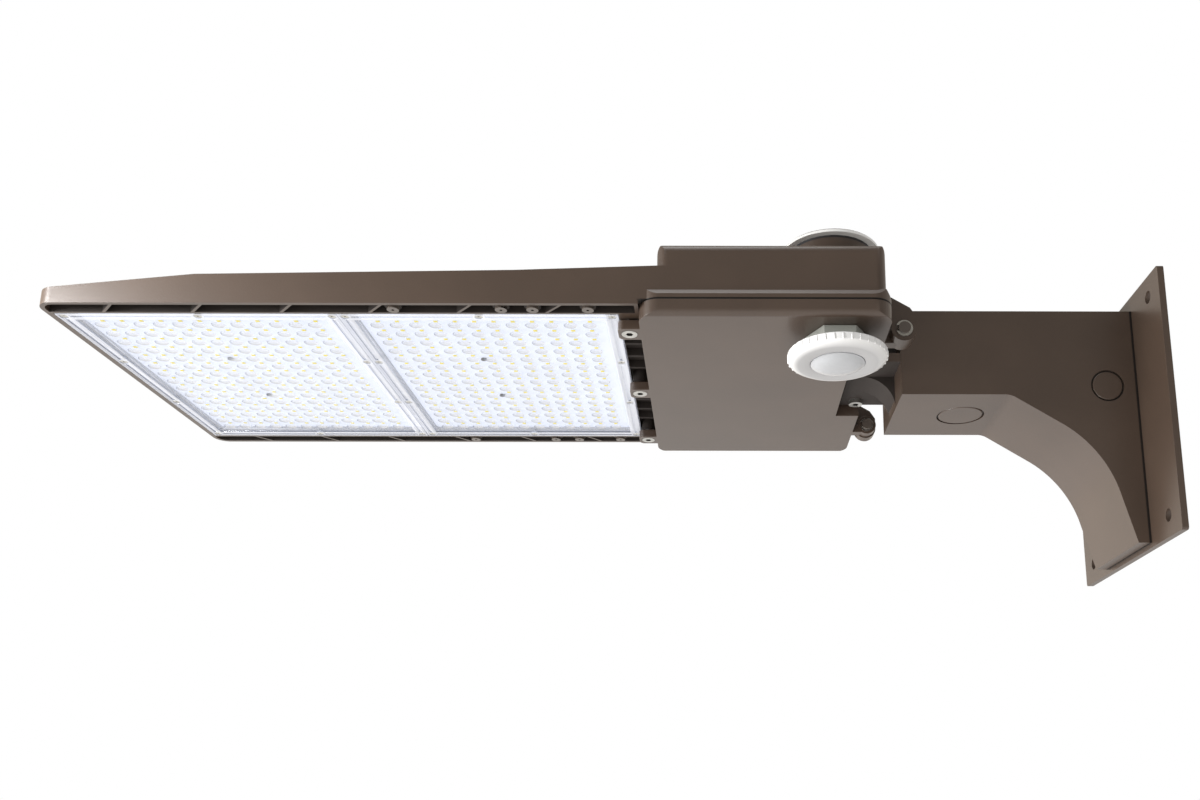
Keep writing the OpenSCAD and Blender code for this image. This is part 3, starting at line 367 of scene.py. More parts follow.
def powder_coat(name, colour, rough=0.4, seam=None, coat=0.5, plugs=()):
    """In a seam, and in the groove round a plug, shade is painted: the colour goes dark and the coat's gloss goes."""
    t = Tree(name)
    slow = t.noise(TINT_SCALE, 3.0)
    peel = t.noise(PEEL_SCALE, 2.0)
    grain = t.noise(GRAIN_SCALE, 1.0)
    tint = t.blend(t.ramp(slow * 0.6 + grain * 0.4, 0.35, 0.65), scaled(colour, 0.86), scaled(colour, 1.1))
    if seam:
        # The seam's band is painted shade: dark colour and no coat.
        band = seam_shade_band(t, *seam)
        tint = t.blend(band * 0.95, tint, SEAM_SHADE)
        coat = (1.0 - band) * coat
    for node, axis in plugs:
        # The groove round each plug gets painted shade too.
        ring = groove_shade_band(t, node, axis)
        tint = t.blend(ring * 0.9, tint, GROOVE_SHADE)
        coat = (1.0 - ring) * coat
    height = peel * 0.7 + grain * 0.3
    return t.finish(Base_Color=tint, Roughness=t.ramp(grain, 0.3, 0.7, rough - 0.07, rough + 0.07),
                    Normal=t.bump(height, 0.22, 0.0003), Metallic=0.0, Coat_Weight=coat, Coat_Roughness=0.28)


# %% [markdown]
# Three castings need a coat of their own, because each shows a dark line of painted shade: the housing and the door
# along their common seam, and the arm where it meets the wall plate and round its two plugs. The places come from
# the packed pieces, so a line can't drift away from its joint.

# %% The bronze coats
SEAM_END, HOUSING_SEAM_START, DOOR_SEAM_START = -0.234, -0.437, -0.6
seam_z, plate_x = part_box("door_gasket")[1].z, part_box("arm")[1].x
housing_seam = (2, seam_z - 0.0006, seam_z + 0.0009, (HOUSING_SEAM_START, SEAM_END))
door_seam = (2, seam_z - 0.0009, seam_z + 0.001, (DOOR_SEAM_START, SEAM_END))
arm_seam = (0, plate_x - 0.0021, plate_x + 0.001, (-1.0, 1.0))
bronze = powder_coat("bronze_powder_coat", BRONZE)
bronze_housing = powder_coat("bronze_coat_housing_painted_shade", BRONZE, seam=housing_seam)
bronze_arm = powder_coat("bronze_coat_arm_painted_shade", BRONZE, seam=arm_seam, plugs=(("side_plug", 1), ("bottom_plug", 2)))
bronze_door = powder_coat("bronze_coat_door_painted_shade", BRONZE, seam=door_seam)
# The next coat is painted shade for the deep channels and the neck's front, and the heat sink wears it as well.
bronze_dark = powder_coat("bronze_recess_shade", RECESS_SHADE_BRONZE, 0.75, coat=0.0)
bronze_gloss = powder_coat("bronze_screw_coat", SCREW_BRONZE, 0.34)
print("bronze ready, door seam at z =", round(seam_z, 4))

# %% [markdown]
# Most screws and the retaining rings are zinc plated steel. Plating is brushed by tumbling, so its gloss changes
# from spot to spot while its colour hardly does. The plastics and seals are moulded: one even colour, a fine grain
# and a slow drift in tone. The driver's case is bare aluminium, and looks enough like plating to share its recipe.

# %% Plated steel, plastics and rubber
def plated_steel(name, colour, rough=0.3):
    t = Tree(name)
    cloud = t.noise(240.0, 3.0)
    fine = t.noise(3000.0, 1.0)
    tint = t.blend(t.ramp(cloud, 0.35, 0.65), colour, scaled(colour, 0.82))
    return t.finish(Base_Color=tint, Metallic=1.0, Roughness=t.ramp(cloud, 0.3, 0.7, rough - 0.08, rough + 0.12),
                    Normal=t.bump(fine, 0.08, 0.0002))


def moulded(name, colour, rough=0.45, grain_size=1500.0, depth=0.12, **extra):
    t = Tree(name)
    grain = t.noise(grain_size, 2.0)
    slow = t.noise(30.0, 2.0)
    tint = t.blend(t.ramp(slow, 0.3, 0.7), colour, scaled(colour, 0.93))
    return t.finish(Base_Color=tint, Roughness=t.ramp(grain, 0.3, 0.7, rough - 0.05, rough + 0.08),
                    Normal=t.bump(grain, depth, 0.0002), **extra)


steel = plated_steel("zinc_plated_steel", rgb(214, 214, 210))
dark_steel = plated_steel("blackened_steel", rgb(70, 70, 74), 0.4)
# The next finish is painted shade for the screws' sockets.
socket_black = plated_steel("shaded_socket", rgb(40, 38, 36), 0.6)
white_plastic = moulded("white_sensor_plastic", rgb(230, 230, 229), 0.3, 1500.0, 0.05, Coat_Weight=0.3)
grey_plastic = moulded("grey_sensor_plastic", rgb(165, 167, 160), 0.35)
black_plastic = moulded("black_moulded_plastic", rgb(38, 38, 40), 0.5)
grey_rubber = moulded("light_grey_seal", rgb(240, 239, 236), 0.4, 900.0)
black_rubber = moulded("black_gasket_rubber", rgb(24, 24, 25), 0.75, 900.0, 0.2)
ivory_plastic = moulded("ivory_terminal_plastic", rgb(214, 208, 190), 0.45)
# The board's emission is a painted glow: its diodes are off.
white_board = moulded("white_solder_mask_painted_glow", rgb(226, 233, 248), 0.3, 2500.0, 0.05,
                       Emission_Color=rgb(222, 232, 255), Emission_Strength=0.2)
driver_metal = plated_steel("driver_aluminium_case", rgb(190, 192, 194), 0.42)
print("plastics and metals ready")

# %% [markdown]
# ## Clear parts
# The lens panels are clear polycarbonate. Light that crosses them is bent only a little, so a glossy surface with
# a low alpha is quicker and cleaner than a full glass, and it keeps the diodes crisp behind it. The frames have a
# painted glow, standing in for the light that real ones lead in from the side, and painted shade on their slanted
# flanks. The sensor's window is milky: light goes into its skin and comes back scattered.

# %% Clear and milky plastics
LENS_IOR, SHEET_INSET = 1.58, 0.0020
CLEAR_TINT, FRAME_FLANK_SHADE = rgb(240, 243, 252), rgb(176, 182, 198)
SHEET_TINT, BUBBLE_PAINTED_SHADE, BUBBLE_PAINTED_HIGHLIGHT = rgb(250, 252, 255), rgb(112, 120, 138), rgb(255, 255, 255)


def see_through(name, tint, face_alpha, edge_alpha, rough):
    t = Tree(name)
    drift = t.noise(60.0, 2.0)
    colour = t.blend(t.ramp(drift, 0.3, 0.7), tint, scaled(tint, 1.05))
    slant = t.add("ShaderNodeLayerWeight", None, 1, Blend=0.35)
    level = t.maths("ABSOLUTE", t.facing(2))
    # The slanted flanks get painted shade, and the emission is a painted glow.
    colour = t.blend(t.ramp(level, 0.75, 0.25), colour, FRAME_FLANK_SHADE)
    made = t.finish(Base_Color=colour, Roughness=rough, IOR=LENS_IOR, Emission_Color=colour, Emission_Strength=0.25,
                    Alpha=t.ramp(slant, 0.15, 0.85, face_alpha, edge_alpha))
    made.surface_render_method = "BLENDED"
    return made


def lenslet_sheet(name, face_plane):
    """The flat sheet is almost invisible. A bubble below its face is clear in the middle and milky at its edge, with
    painted shade on its -x side and a painted highlight on its +x side.
    """
    t = Tree(name)
    bubble = t.ramp(t.along(2), face_plane - 0.00002, face_plane - 0.0003)
    slant = t.add("ShaderNodeLayerWeight", None, 1, Blend=0.5)
    shade = t.blend(t.ramp(t.facing(0), -0.5, 0.5), BUBBLE_PAINTED_SHADE, BUBBLE_PAINTED_HIGHLIGHT)
    colour = t.blend(bubble, SHEET_TINT, shade)
    milk = t.ramp(slant, 0.25, 0.85, 0.24, 0.95)
    made = t.finish(Base_Color=colour, Roughness=t.ramp(t.noise(60.0, 2.0), 0.3, 0.7, 0.03, 0.07), IOR=LENS_IOR,
                    Alpha=0.08 + bubble * (milk - 0.08))
    made.surface_render_method = "BLENDED"
    return made


lens_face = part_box("lens_front")[0].z + SHEET_INSET
clear_sheet = lenslet_sheet("clear_lens_sheet", lens_face)
clear_frame = see_through("clear_lens_frame", CLEAR_TINT, 0.26, 0.68, 0.1)
# The window's milky white is set darker, to match the ring's shaded face: painted shade.
milky = moulded("milky_sensor_window", rgb(182, 184, 187), 0.18, 400.0, 0.03, Subsurface_Weight=0.3,
                Subsurface_Radius=(0.01, 0.01, 0.01))
phosphor = moulded("yellow_phosphor", rgb(255, 234, 10), 0.35, 3000.0, 0.05)
silicone = moulded("pale_silicone_gasket", rgb(244, 246, 252), 0.55, 900.0)
print("clear parts ready, sheet face at z =", round(lens_face, 4))

# %% [markdown]
# ## Pieces that move with the lamp
# Whatever is drawn here has to belong somewhere: it rides on a body of the packed part, and it may stand in for a
# packed piece, which is then hidden. Modifiers are worked into the mesh first.

# %% Making and placing a piece
def finish_piece(obj, body, stands_for=()):
    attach(obj, body)
    if stands_for:
        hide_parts(*stands_for)
    return obj


def piece_from(name, mesh, material):
    obj = bpy.data.objects.new(name, mesh)
    bpy.context.scene.collection.objects.link(obj)
    mesh.materials.clear()
    mesh.materials.append(material)
    return obj


def settled(obj):
    """The object's mesh with its modifiers worked in, and no modifier left."""
    shown = obj.evaluated_get(bpy.context.evaluated_depsgraph_get())
    mesh = bpy.data.meshes.new_from_object(shown)
    obj.modifiers.clear()
    obj.data = mesh
    return obj


ROOT, DOOR, SENSOR, CAP = "fixture", "driver_door", "sensor_head", "photocell_cap"
print("bodies:", ROOT, DOOR, SENSOR, CAP)

# %% [markdown]
# ## Soft edges on the castings
# A die casting has no razor edge: every corner is rounded by the tool and again by the coat. The edges could be
# rounded in the solids, one by one, but a bevel finds them all by their angle. The packed mesh is loose triangles,
# so a copy is welded first, its flat areas are joined up, and the bevel runs along what is left.

# %% Softened copies
WELD, EDGE_WIDTH, EDGE_ANGLE = 0.000004, 0.0008, 32


def smooth(mesh, angle):
    """Shades smoothly, and keeps each edge sharp that turns by more than `angle` degrees."""
    for face in mesh.polygons:
        face.use_smooth = True
    mesh.set_sharp_from_angle(angle=math.radians(angle))
    return mesh


def round_edges(obj, width, angle):
    """A narrow bevel along each edge that turns by more than `angle` degrees."""
    bevel = obj.modifiers.new("edge", "BEVEL")
    bevel.width, bevel.segments = width, 2
    bevel.limit_method, bevel.angle_limit = "ANGLE", math.radians(angle)
    bevel.use_clamp_overlap, bevel.harden_normals = True, True


def soften(node, body, material):
    """A welded copy of a packed solid, with soft edges, that stands for it."""
    bm = bmesh.new()
    bm.from_mesh(nodes[node].data)
    bmesh.ops.remove_doubles(bm, verts=bm.verts, dist=WELD)
    bmesh.ops.dissolve_limit(bm, angle_limit=math.radians(1.0), verts=bm.verts, edges=bm.edges,
                             delimit={"NORMAL"})
    mesh = bpy.data.meshes.new(node + "_soft")
    bm.to_mesh(mesh)
    bm.free()
    obj = piece_from(node + "_soft", mesh, material)
    round_edges(obj, EDGE_WIDTH, EDGE_ANGLE)
    smooth(mesh, EDGE_ANGLE)
    weighted = obj.modifiers.new("flat", "WEIGHTED_NORMAL")
    weighted.keep_sharp = True
    weighted.weight = 100
    settled(obj)
    finish_piece(obj, body, (node,))
    print(node, "softened:", len(obj.data.polygons), "faces")
    return obj


print("edges", EDGE_WIDTH, "wide from", EDGE_ANGLE, "degrees")

# %% [markdown]
# ## Who wears what
# Each packed piece gets one finish. It could be set piece by piece, but a table shows at a glance which pieces
# share one, as on the real lamp, where all castings go through the same paint line.

# %% Finishes on the pieces
def dress(node, material):
    obj = nodes[node]
    obj.data.materials.clear()
    obj.data.materials.append(material)


finishes = {
    "wall_plate": bronze, "side_plug": bronze, "bottom_plug": bronze, "neck": bronze, "arm": bronze,
    "housing": bronze, "door": bronze, "heat_sink": bronze_dark, "receptacle_cap": bronze, "plate_screws": steel,
    "neck_bolts": steel, "neck_screws": steel, "sink_screws": steel, "rim_screws": bronze_gloss,
    "lens_screws": steel, "driver_screws": steel, "door_screws": steel, "hinge_pins": bronze_gloss,
    "hinge_clips": steel, "board_screws": dark_steel, "led_board_front": white_board,
    "led_board_rear": white_board, "lens_gasket_front": silicone, "lens_gasket_rear": silicone,
    "door_gasket": black_rubber, "lens_front": clear_frame, "lens_rear": clear_frame, "driver": driver_metal,
    "surge_protector": black_plastic, "terminal_block": ivory_plastic, "receptacle": black_plastic,
    "receptacle_seal": grey_rubber, "sensor_base": grey_plastic, "sensor_nut": grey_plastic,
    "sensor_ring": white_plastic, "sensor_window": milky,
}
for node, finish in finishes.items():
    dress(node, finish)
print("dressed:", len(finishes), "pieces in", len(set(f.name for f in finishes.values())), "finishes")

# %% [markdown]
# The castings and the sensor's base, whose edges catch the light, are exchanged for softened copies. Each copy rides
# on the body of the piece that it stands for, so the door still swings and the cap still turns.

# %% Softened castings
for node in ("wall_plate", "side_plug", "bottom_plug"):
    soften(node, ROOT, bronze)
neck = soften("neck", ROOT, bronze)
soften("arm", ROOT, bronze_arm)
housing = soften("housing", ROOT, bronze_housing)
soften("door", DOOR, bronze_door)
soften("receptacle_cap", CAP, bronze)
soften("sensor_base", DOOR, grey_plastic)

# %% [markdown]
# ## Deep channels
# The channels along the rim and the gap behind the lenses are deep cores of the casting. Little light reaches down
# there, so their walls get painted shade, a dark bronze that makes them almost black, and only the ribs' lower edges
# catch the eye. The neck's hidden front gets the same painted shade. Paint on the whole piece could fade by place,
# but these faces end at clear edges, so they get a second material, and a short test picks them by the place of their
# middle.

# %% Dark walls in the channels
front_low, front_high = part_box("lens_front")
rear_end, door_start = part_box("lens_rear")[1].x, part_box("door")[0].x
neck_floor, arm_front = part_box("neck")[0].z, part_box("arm")[0].x
rim_plane = front_low.z
CHANNEL_DEPTH, CHANNEL_HALF, NECK_HALF = 0.03, 0.1534, 0.0465


def in_channel(c):
    above = rim_plane + 0.0004 < c.z < rim_plane + CHANNEL_DEPTH
    rim = front_high.y + 0.0012 < abs(c.y) < CHANNEL_HALF and front_low.x < c.x < door_start + 0.016
    gap = rear_end < c.x < door_start + 0.018 and abs(c.y) < front_high.y
    return above and (rim or gap)


def neck_front(c):
    return c.x < arm_front - 0.001 and abs(c.y) < NECK_HALF and c.z > neck_floor + 0.006


def darken(obj, test):
    """Paints shade: gives the dark bronze, as a second material, to every face whose middle passes the test."""
    obj.data.materials.append(bronze_dark)
    chosen = [face for face in obj.data.polygons if test(face.center)]
    for face in chosen:
        face.material_index = 1
    print(obj.name, "dark faces:", len(chosen))


darken(housing, in_channel)
darken(neck, neck_front)

# %% [markdown]
# ## Sockets of the screws
# From a step away a screw's hexagonal socket is a black dot in a bright ring, as little light gets into it. The
# packed screws have the sockets already, and their faces get painted shade. A picture of the shade could do it, but
# the heads all point down, and each socket's faces lie close to its own screw's axis, just above the lowest point, so
# a test finds them.

# %% Dark sockets
HEAD_SPAN, SOCKET_SHARE = 0.016, 0.68


def heads_of(mesh):
    """The mesh's points, one list for each screw: points nearer than a head's span belong together."""
    heads = []
    for v in mesh.vertices:
        home = next((h for h in heads if math.hypot(h[0].x - v.co.x, h[0].y - v.co.y) < HEAD_SPAN), None)
        if home is None:
            home = []
            heads.append(home)
        home.append(v.co)
    return heads


def dark_sockets(node, depth):
    """Paints shade: blackens the faces of the sockets, `depth` metres deep, of all screws in one piece."""
    mesh = nodes[node].data
    heads = heads_of(mesh)
    lowest = min(v.co.z for v in mesh.vertices)
    mesh.materials.append(socket_black)
    count = 0
    for head in heads:
        xs, ys = [c.x for c in head], [c.y for c in head]
        middle_x, middle_y = (max(xs) + min(xs)) / 2, (max(ys) + min(ys)) / 2
        limit = SOCKET_SHARE * (max(xs) - min(xs)) / 2
        for face in mesh.polygons:
            c = face.center
            inside = math.hypot(c.x - middle_x, c.y - middle_y) < limit
            if inside and lowest + 0.0001 < c.z < lowest + depth:
                face.material_index = 1
                count += 1
    print(node, "heads:", len(heads), "dark faces:", count)


for node, depth in {"door_screws": 0.0011, "neck_screws": 0.0022, "rim_screws": 0.0017}.items():
    dark_sockets(node, depth)

# %% [markdown]
# ## Recipes for what repeats
# Lenslets, diodes and grips come in hundreds or dozens of equal copies. Each is drawn once, and a Geometry Nodes
# tree sets it out on a grid or a circle. The tree's inputs have names and a fixed seed, so the pattern can be changed
# by number. The result is turned into a plain mesh at once.

# %% A maker of recipes
class Recipe:
    """A Geometry Nodes tree with named inputs, built node by node."""

    def __init__(self, name, **inputs):
        self.tree = bpy.data.node_groups.new(name, "GeometryNodeTree")
        face = self.tree.interface
        face.new_socket("Geometry", in_out="INPUT", socket_type="NodeSocketGeometry")
        for key, kind in inputs.items():
            face.new_socket(key, in_out="INPUT", socket_type="NodeSocket" + kind)
        face.new_socket("Geometry", in_out="OUTPUT", socket_type="NodeSocketGeometry")
        self.start = self.tree.nodes.new("NodeGroupInput")
        self.end = self.tree.nodes.new("NodeGroupOutput")

    def add(self, kind, settings=None, **inputs):
        node = self.tree.nodes.new(kind)
        for key, val in (settings or {}).items():
            setattr(node, key, val)
        for key, val in inputs.items():
            socket = node.inputs[key.replace("_", " ")]
            if hasattr(val, "is_output"):
                self.tree.links.new(val, socket)
            else:
                socket.default_value = val
        return node

    def given(self, key):
        return self.start.outputs[key]

    def close(self, geometry):
        whole = self.add("GeometryNodeRealizeInstances", Geometry=geometry)
        dressed = self.add("GeometryNodeSetMaterial", Geometry=whole.outputs[0], Material=self.given("Finish"))
        self.tree.links.new(dressed.outputs[0], self.end.inputs[0])

    def cook(self, obj, **values):
        step = obj.modifiers.new("recipe", "NODES")
        step.node_group = self.tree
        for item in self.tree.interface.items_tree:
            if item.in_out == "INPUT" and item.name in values:
                step[item.identifier] = values[item.name]
        return settled(obj)


print("recipes can be written")

# %% [markdown]
# Moulded copies are never quite equal, so the two grids shrink each copy by a few hundredths at random. The lens
# sheet's recipe also lays a thin plate above its bubbles. The grips stand on a circle, and each faces outwards.

# %% Three recipes
def spread(recipe, shrink):
    """Points in rows and columns with a copy on each, every one up to `shrink` smaller than drawn."""
    grid = recipe.add("GeometryNodeMeshGrid", Size_X=recipe.given("Length"), Size_Y=recipe.given("Width"),
                      Vertices_X=recipe.given("Columns"), Vertices_Y=recipe.given("Rows"))
    uneven = recipe.add("FunctionNodeRandomValue", {"data_type": "FLOAT_VECTOR"}, Seed=recipe.given("Seed"))
    uneven.inputs[0].default_value = (1.0 - shrink,) * 3
    uneven.inputs[1].default_value = (1.0,) * 3
    copies = recipe.add("GeometryNodeInstanceOnPoints", Points=grid.outputs[0], Instance=recipe.given("Geometry"),
                        Scale=uneven.outputs[0])
    return copies.outputs[0]


grid_inputs = {"Length": "Float", "Width": "Float", "Columns": "Int", "Rows": "Int", "Seed": "Int",
               "Finish": "Material"}
diode_grid = Recipe("diode_grid", **grid_inputs)
diode_grid.close(spread(diode_grid, 0.04))

lens_sheet = Recipe("lens_sheet", **grid_inputs, Plate="Vector", Lift="Vector")
plate = lens_sheet.add("GeometryNodeMeshCube", Size=lens_sheet.given("Plate"))
lifted = lens_sheet.add("GeometryNodeTransform", Geometry=plate.outputs[0], Translation=lens_sheet.given("Lift"))
sheet_parts = lens_sheet.add("GeometryNodeJoinGeometry", Geometry=spread(lens_sheet, 0.03))
lens_sheet.tree.links.new(lifted.outputs[0], sheet_parts.inputs[0])
lens_sheet.close(sheet_parts.outputs[0])

grip_circle = Recipe("grip_circle", Radius="Float", Count="Int", Finish="Material")
circle = grip_circle.add("GeometryNodeMeshCircle", Vertices=grip_circle.given("Count"),
                         Radius=grip_circle.given("Radius"))
place = grip_circle.add("GeometryNodeInputPosition")
turn = grip_circle.add("FunctionNodeAlignRotationToVector", {"axis": "X"}, Vector=place.outputs[0])
grips = grip_circle.add("GeometryNodeInstanceOnPoints", Points=circle.outputs[0],
                        Instance=grip_circle.given("Geometry"), Rotation=turn.outputs[0])
grip_circle.close(grips.outputs[0])
print("recipes:", [r.tree.name for r in (diode_grid, lens_sheet, grip_circle)])

# %% [markdown]
# ## Turned shapes
# A lenslet, the sensor's collar and its window are all round. They could be made from cut spheres and rings, but a
# half outline says more with fewer points. `lathe` turns it round the vertical axis, as a mould maker would.

# %% A lathe
def lathe(name, outline, segments, closed=True):
    """A half outline of (radius, height) points, turned all round. A point on the axis makes one tip."""
    bm = bmesh.new()
    rings = []
    for radius, height in outline:
        if radius < 1e-7:
            rings.append([bm.verts.new((0.0, 0.0, height))])
        else:
            rings.append([bm.verts.new((radius * math.cos(2 * math.pi * k / segments),
                                        radius * math.sin(2 * math.pi * k / segments), height))
                          for k in range(segments)])
    pairs = list(zip(rings, rings[1:])) + ([(rings[-1], rings[0])] if closed else [])
    for one, two in pairs:
        for k in range(segments):
            n = (k + 1) % segments
            corners = [one[k % len(one)], one[n % len(one)], two[n % len(two)], two[k % len(two)]]
            unique = list(dict.fromkeys(corners))
            if len(unique) > 2:
                bm.faces.new(unique)
    bmesh.ops.recalc_face_normals(bm, faces=bm.faces)
    mesh = bpy.data.meshes.new(name)
    bm.to_mesh(mesh)
    bm.free()
    return mesh


print("the lathe is ready")

# %% [markdown]
# ## Small parts, drawn once
# A lenslet is an oval bubble on the outer face of the clear sheet, a diode shows a square of yellow phosphor, and a
# grip is a rounded rib. The bubble is turned and then squeezed into its oval. The other two are boxes with a bevel.

# %% Small parts
BUBBLE_STEPS, BUBBLE_SEGMENTS, FULLNESS = (0.0, 0.45, 0.85, 1.2, math.pi / 2), 14, 0.8


def bubble(name, length, width, height):
    """A lenslet: its foot is an oval on z = 0 and it bulges downwards."""
    outline = [(math.sin(a), -height * math.cos(a) ** FULLNESS if a < math.pi / 2 else 0.0) for a in BUBBLE_STEPS]
    mesh = lathe(name, outline, BUBBLE_SEGMENTS, closed=False)
    for v in mesh.vertices:
        v.co.x *= length / 2
        v.co.y *= width / 2
    return mesh


def rounded_box(name, size, edge, segments):
    bm = bmesh.new()
    bmesh.ops.create_cube(bm, size=1.0)
    for v in bm.verts:
        v.co = Vector((v.co.x * size[0], v.co.y * size[1], v.co.z * size[2]))
    bmesh.ops.bevel(bm, geom=list(bm.edges), offset=edge, segments=segments, affect="EDGES", profile=0.5)
    mesh = bpy.data.meshes.new(name)
    bm.to_mesh(mesh)
    bm.free()
    return mesh


def moved(obj, where):
    """Shifts the mesh itself, because every piece's object stays at the origin."""
    obj.data.transform(Matrix.Translation(where))
    return obj


print("small parts ready")

# %% [markdown]
# ## Lens frames
# Each module is a clear moulding over a white board. Its raised frame could be drawn anew, but it might drift from
# the packed solid, so it is cut out of it: four cuts along the edges of the flat middle, and the faces inside them
# go. A narrow bevel of its own lets both ridges and the groove between them show.

# %% Lens frames
FRAME_WIDTH, OVERLAP, CUT_INSET, MIDDLE_INSET = 0.0105, 0.0004, 0.0006, 0.0007
FRAME_EDGE, FRAME_ANGLE = 0.0003, 40


def half_middle(low, high):
    """Half the length and half the width of the flat middle, with a little overlap under the frame."""
    return [(high[axis] - low[axis]) / 2 - FRAME_WIDTH + OVERLAP for axis in (0, 1)]


def lens_frame(side, low, high):
    centre, half = (low + high) / 2, half_middle(low, high)
    bm = bmesh.new()
    bm.from_mesh(nodes["lens_" + side].data)
    bmesh.ops.remove_doubles(bm, verts=bm.verts, dist=WELD)
    for axis in (0, 1):
        for sign in (-1, 1):
            spot, way = centre.copy(), Vector((0.0, 0.0, 0.0))
            spot[axis] += sign * (half[axis] - CUT_INSET)
            way[axis] = sign
            bmesh.ops.bisect_plane(bm, geom=bm.verts[:] + bm.edges[:] + bm.faces[:], dist=1e-7, plane_co=spot,
                                   plane_no=way)
    middle = [f for f in bm.faces if abs(f.calc_center_median().x - centre.x) < half[0] - MIDDLE_INSET
              and abs(f.calc_center_median().y - centre.y) < half[1] - MIDDLE_INSET]
    bmesh.ops.delete(bm, geom=middle, context="FACES")
    bmesh.ops.triangulate(bm, faces=[f for f in bm.faces if len(f.verts) > 4])
    mesh = bpy.data.meshes.new("lens_frame_" + side)
    bm.to_mesh(mesh)
    bm.free()
    obj = piece_from("lens_frame_" + side, mesh, clear_frame)
    round_edges(obj, FRAME_EDGE, FRAME_ANGLE)
    smooth(mesh, FRAME_ANGLE)
    settled(obj)
    finish_piece(obj, ROOT, ("lens_" + side,))


print("frame width", FRAME_WIDTH, "and edge", FRAME_EDGE)

# %% [markdown]
# ## Lenslets and diodes
# The flat middle becomes a thin sheet with 180 oval bubbles, one over each diode. A diode is a small white case on
# the board, which is in the packed part, and only its square of yellow phosphor tells from outside. That square is
# a thin plate with rounded edges on the face of the case. A picture or a bump could fake both, but modelled bubbles
# catch the light at their edges from every side, and they go into the exported meshes too.

# %% Lenslet sheets and diodes
COLUMNS, ROWS, PITCH_X, PITCH_Y = 12, 15, 0.01575, 0.0164
BUBBLE_SIZE, SHEET_THICKNESS, BUBBLE_SEED = (0.0116, 0.0104, 0.0016), 0.0018, 7
CHIP_SIZE, CHIP_EDGE, CHIP_DROP, CHIP_SEED = (0.0034, 0.0030, 0.0002), 0.00004, 0.00005, 3
grid_sizes = {"Length": (COLUMNS - 1) * PITCH_X, "Width": (ROWS - 1) * PITCH_Y, "Columns": COLUMNS, "Rows": ROWS}


def lenslets(side, centre, half):
    obj = piece_from("lens_sheet_" + side, bubble("bubble_" + side, *BUBBLE_SIZE), clear_sheet)
    smooth(obj.data, 60)
    lens_sheet.cook(obj, **grid_sizes, Seed=BUBBLE_SEED, Finish=clear_sheet,
                    Plate=(2 * half[0], 2 * half[1], SHEET_THICKNESS), Lift=(0.0, 0.0, SHEET_THICKNESS / 2))
    moved(obj, (centre.x, centre.y, lens_face))
    return finish_piece(obj, ROOT)


def diode_faces(side, centre):
    board_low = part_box("led_board_" + side)[0]
    obj = piece_from("phosphor_" + side, rounded_box("dot_" + side, CHIP_SIZE, CHIP_EDGE, 1), phosphor)
    diode_grid.cook(obj, **grid_sizes, Seed=CHIP_SEED, Finish=phosphor)
    moved(obj, (centre.x, centre.y, board_low.z - CHIP_DROP))
    return finish_piece(obj, ROOT)


modules = {side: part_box("lens_" + side) for side in ("front", "rear")}
for side, (low, high) in modules.items():
    centre = (low + high) / 2
    lens_frame(side, low, high)
    sheet = lenslets(side, centre, half_middle(low, high))
    diode_faces(side, centre)
    print(side, "module: sheet faces", len(sheet.data.polygons), "diodes", COLUMNS * ROWS)

# %% [markdown]
# ## Motion sensor
# The white collar is a bowl that screws onto the grey hexagonal base. It is turned from one half outline, which
# starts at its bore, runs over the rounded upper edge, the band for the fingers and the slanted shoulder to the flat
# face, and ends in a rounded lip round the window. Two boxes of the packed part give its reach, height and rim.

# %% Sensor ring
RING_BORE, RING_SEGMENTS = 0.0152, 120
RING_HOLLOW_SHADE, RING_WHITE = rgb(172, 172, 173), rgb(232, 232, 231)
low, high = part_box("sensor_ring")
window_low, window_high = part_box("sensor_window")
centre = (low + high) / 2
tall = high.z - low.z
reach, rim = (high.x - low.x) / 2, (window_high.x - window_low.x) / 2


def ring_finish(name, centre, reach):
    """White at the rim and grips, with painted shade on the hollow face."""
    t = Tree(name)
    away = t.away(centre, (0, 1))
    grain = t.noise(1500.0, 2.0)
    # The hollow face's grey is painted shade.
    tint = t.blend(t.ramp(away, reach * 0.78, reach * 0.97), RING_HOLLOW_SHADE, RING_WHITE)
    return t.finish(Base_Color=tint, Roughness=t.ramp(grain, 0.3, 0.7, 0.28, 0.38), Coat_Weight=0.2,
                    Normal=t.bump(grain, 0.05, 0.0002))


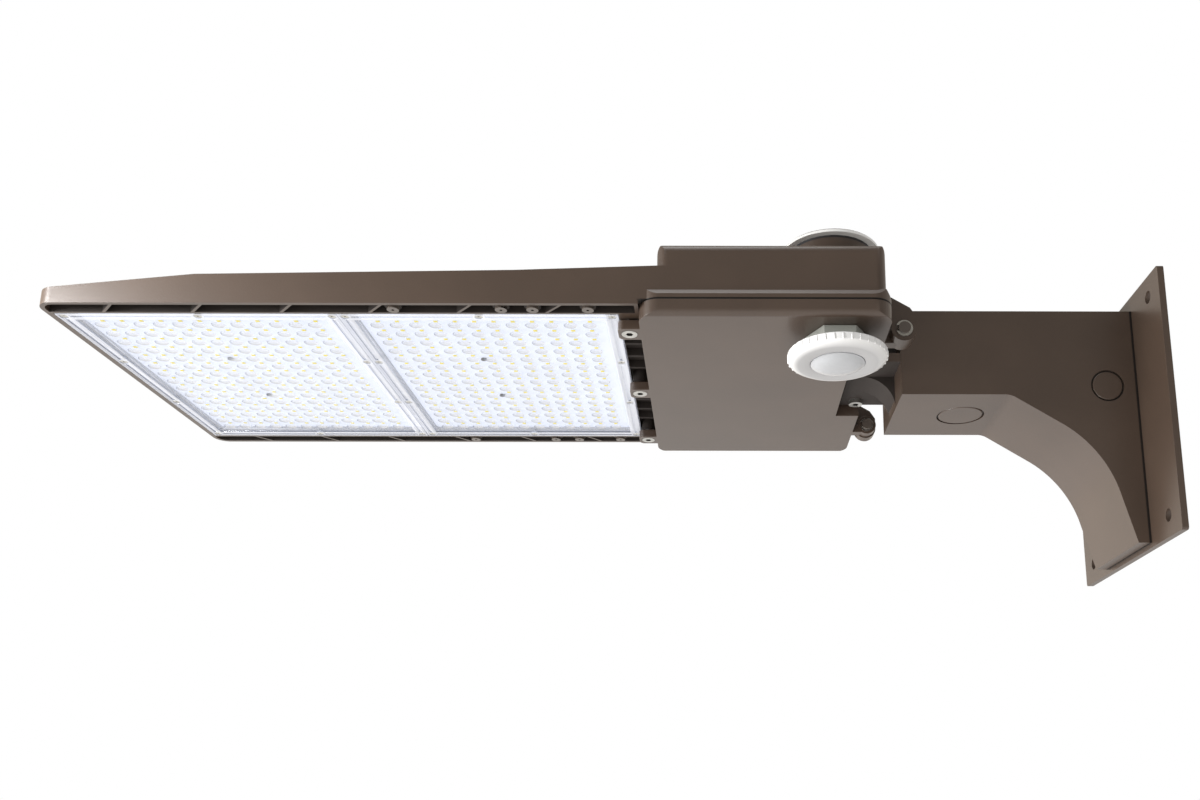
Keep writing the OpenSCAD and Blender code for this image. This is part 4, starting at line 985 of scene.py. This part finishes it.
bore = [(RING_BORE, -0.0055), (RING_BORE, 0.0)]
upper_edge = [(reach - 0.0030, 0.0), (reach - 0.0012, -0.0004), (reach - 0.0006, -0.0012)]
band = [(reach - 0.0009, -0.0058), (reach - 0.0022, -0.0074)]
shoulder = [(reach - 0.0052, -tall + 0.0010), (reach - 0.0068, -tall + 0.0003), (reach - 0.0095, -tall + 0.0001)]
lip = [(rim + 0.0017, -tall + 0.0001), (rim + 0.0006, -tall + 0.0005), (rim + 0.0001, -tall + 0.0011),
       (rim + 0.0001, -tall + 0.0032), (RING_BORE, -tall + 0.0032)]
ring_mesh = smooth(lathe("ring", bore + upper_edge + band + shoulder + lip, RING_SEGMENTS), 30)
ring = piece_from("sensor_ring_turned", ring_mesh, ring_finish("white_ring_shaded_face", centre, reach))
moved(ring, (centre.x, centre.y, high.z))
finish_piece(ring, SENSOR, ("sensor_ring",))
print("ring turned:", len(ring.data.polygons), "faces, reach", round(reach, 4))

# %% [markdown]
# ## Grips and window
# Thirty-six rounded ribs stand round the collar's band, so that wet fingers can turn it. A milky dome sits in the
# face. In the real sensor an infrared lens with small facets lies behind such a dome, but from a step away only the
# milky skin shows, so it is turned as one plain shell. Its outline is a list of shares of its radius and depth.

# %% Sensor grips and window
GRIP_SIZE, GRIP_EDGE, GRIP_COUNT, GRIP_INSET, GRIP_DROP = (0.0014, 0.0017, 0.0052), 0.0005, 36, 0.0009, 0.0038
DOME_SHARES = ((0.0, 1.0), (0.25, 0.965), (0.48, 0.86), (0.68, 0.68), (0.84, 0.42), (0.93, 0.16))
DOME_FOOT, DOME_SEGMENTS = 0.0028, 96
grips_obj = piece_from("sensor_grips", rounded_box("grip", GRIP_SIZE, GRIP_EDGE, 2), white_plastic)
smooth(grips_obj.data, 60)
grip_circle.cook(grips_obj, Radius=reach - GRIP_INSET, Count=GRIP_COUNT, Finish=white_plastic)
moved(grips_obj, (centre.x, centre.y, high.z - GRIP_DROP))
finish_piece(grips_obj, SENSOR)

drop = low.z - window_low.z
dome = [(rim * across, -drop * down) for across, down in DOME_SHARES]
dome += [(rim * 0.97, -0.0002), (rim, 0.0), (rim, DOME_FOOT), (0.0, DOME_FOOT)]
window = piece_from("sensor_dome", smooth(lathe("dome", dome, DOME_SEGMENTS, closed=False), 50), milky)
moved(window, (centre.x, centre.y, low.z))
finish_piece(window, SENSOR, ("sensor_window",))
print("grips:", len(grips_obj.data.polygons), "faces, window:", len(window.data.polygons), "faces")
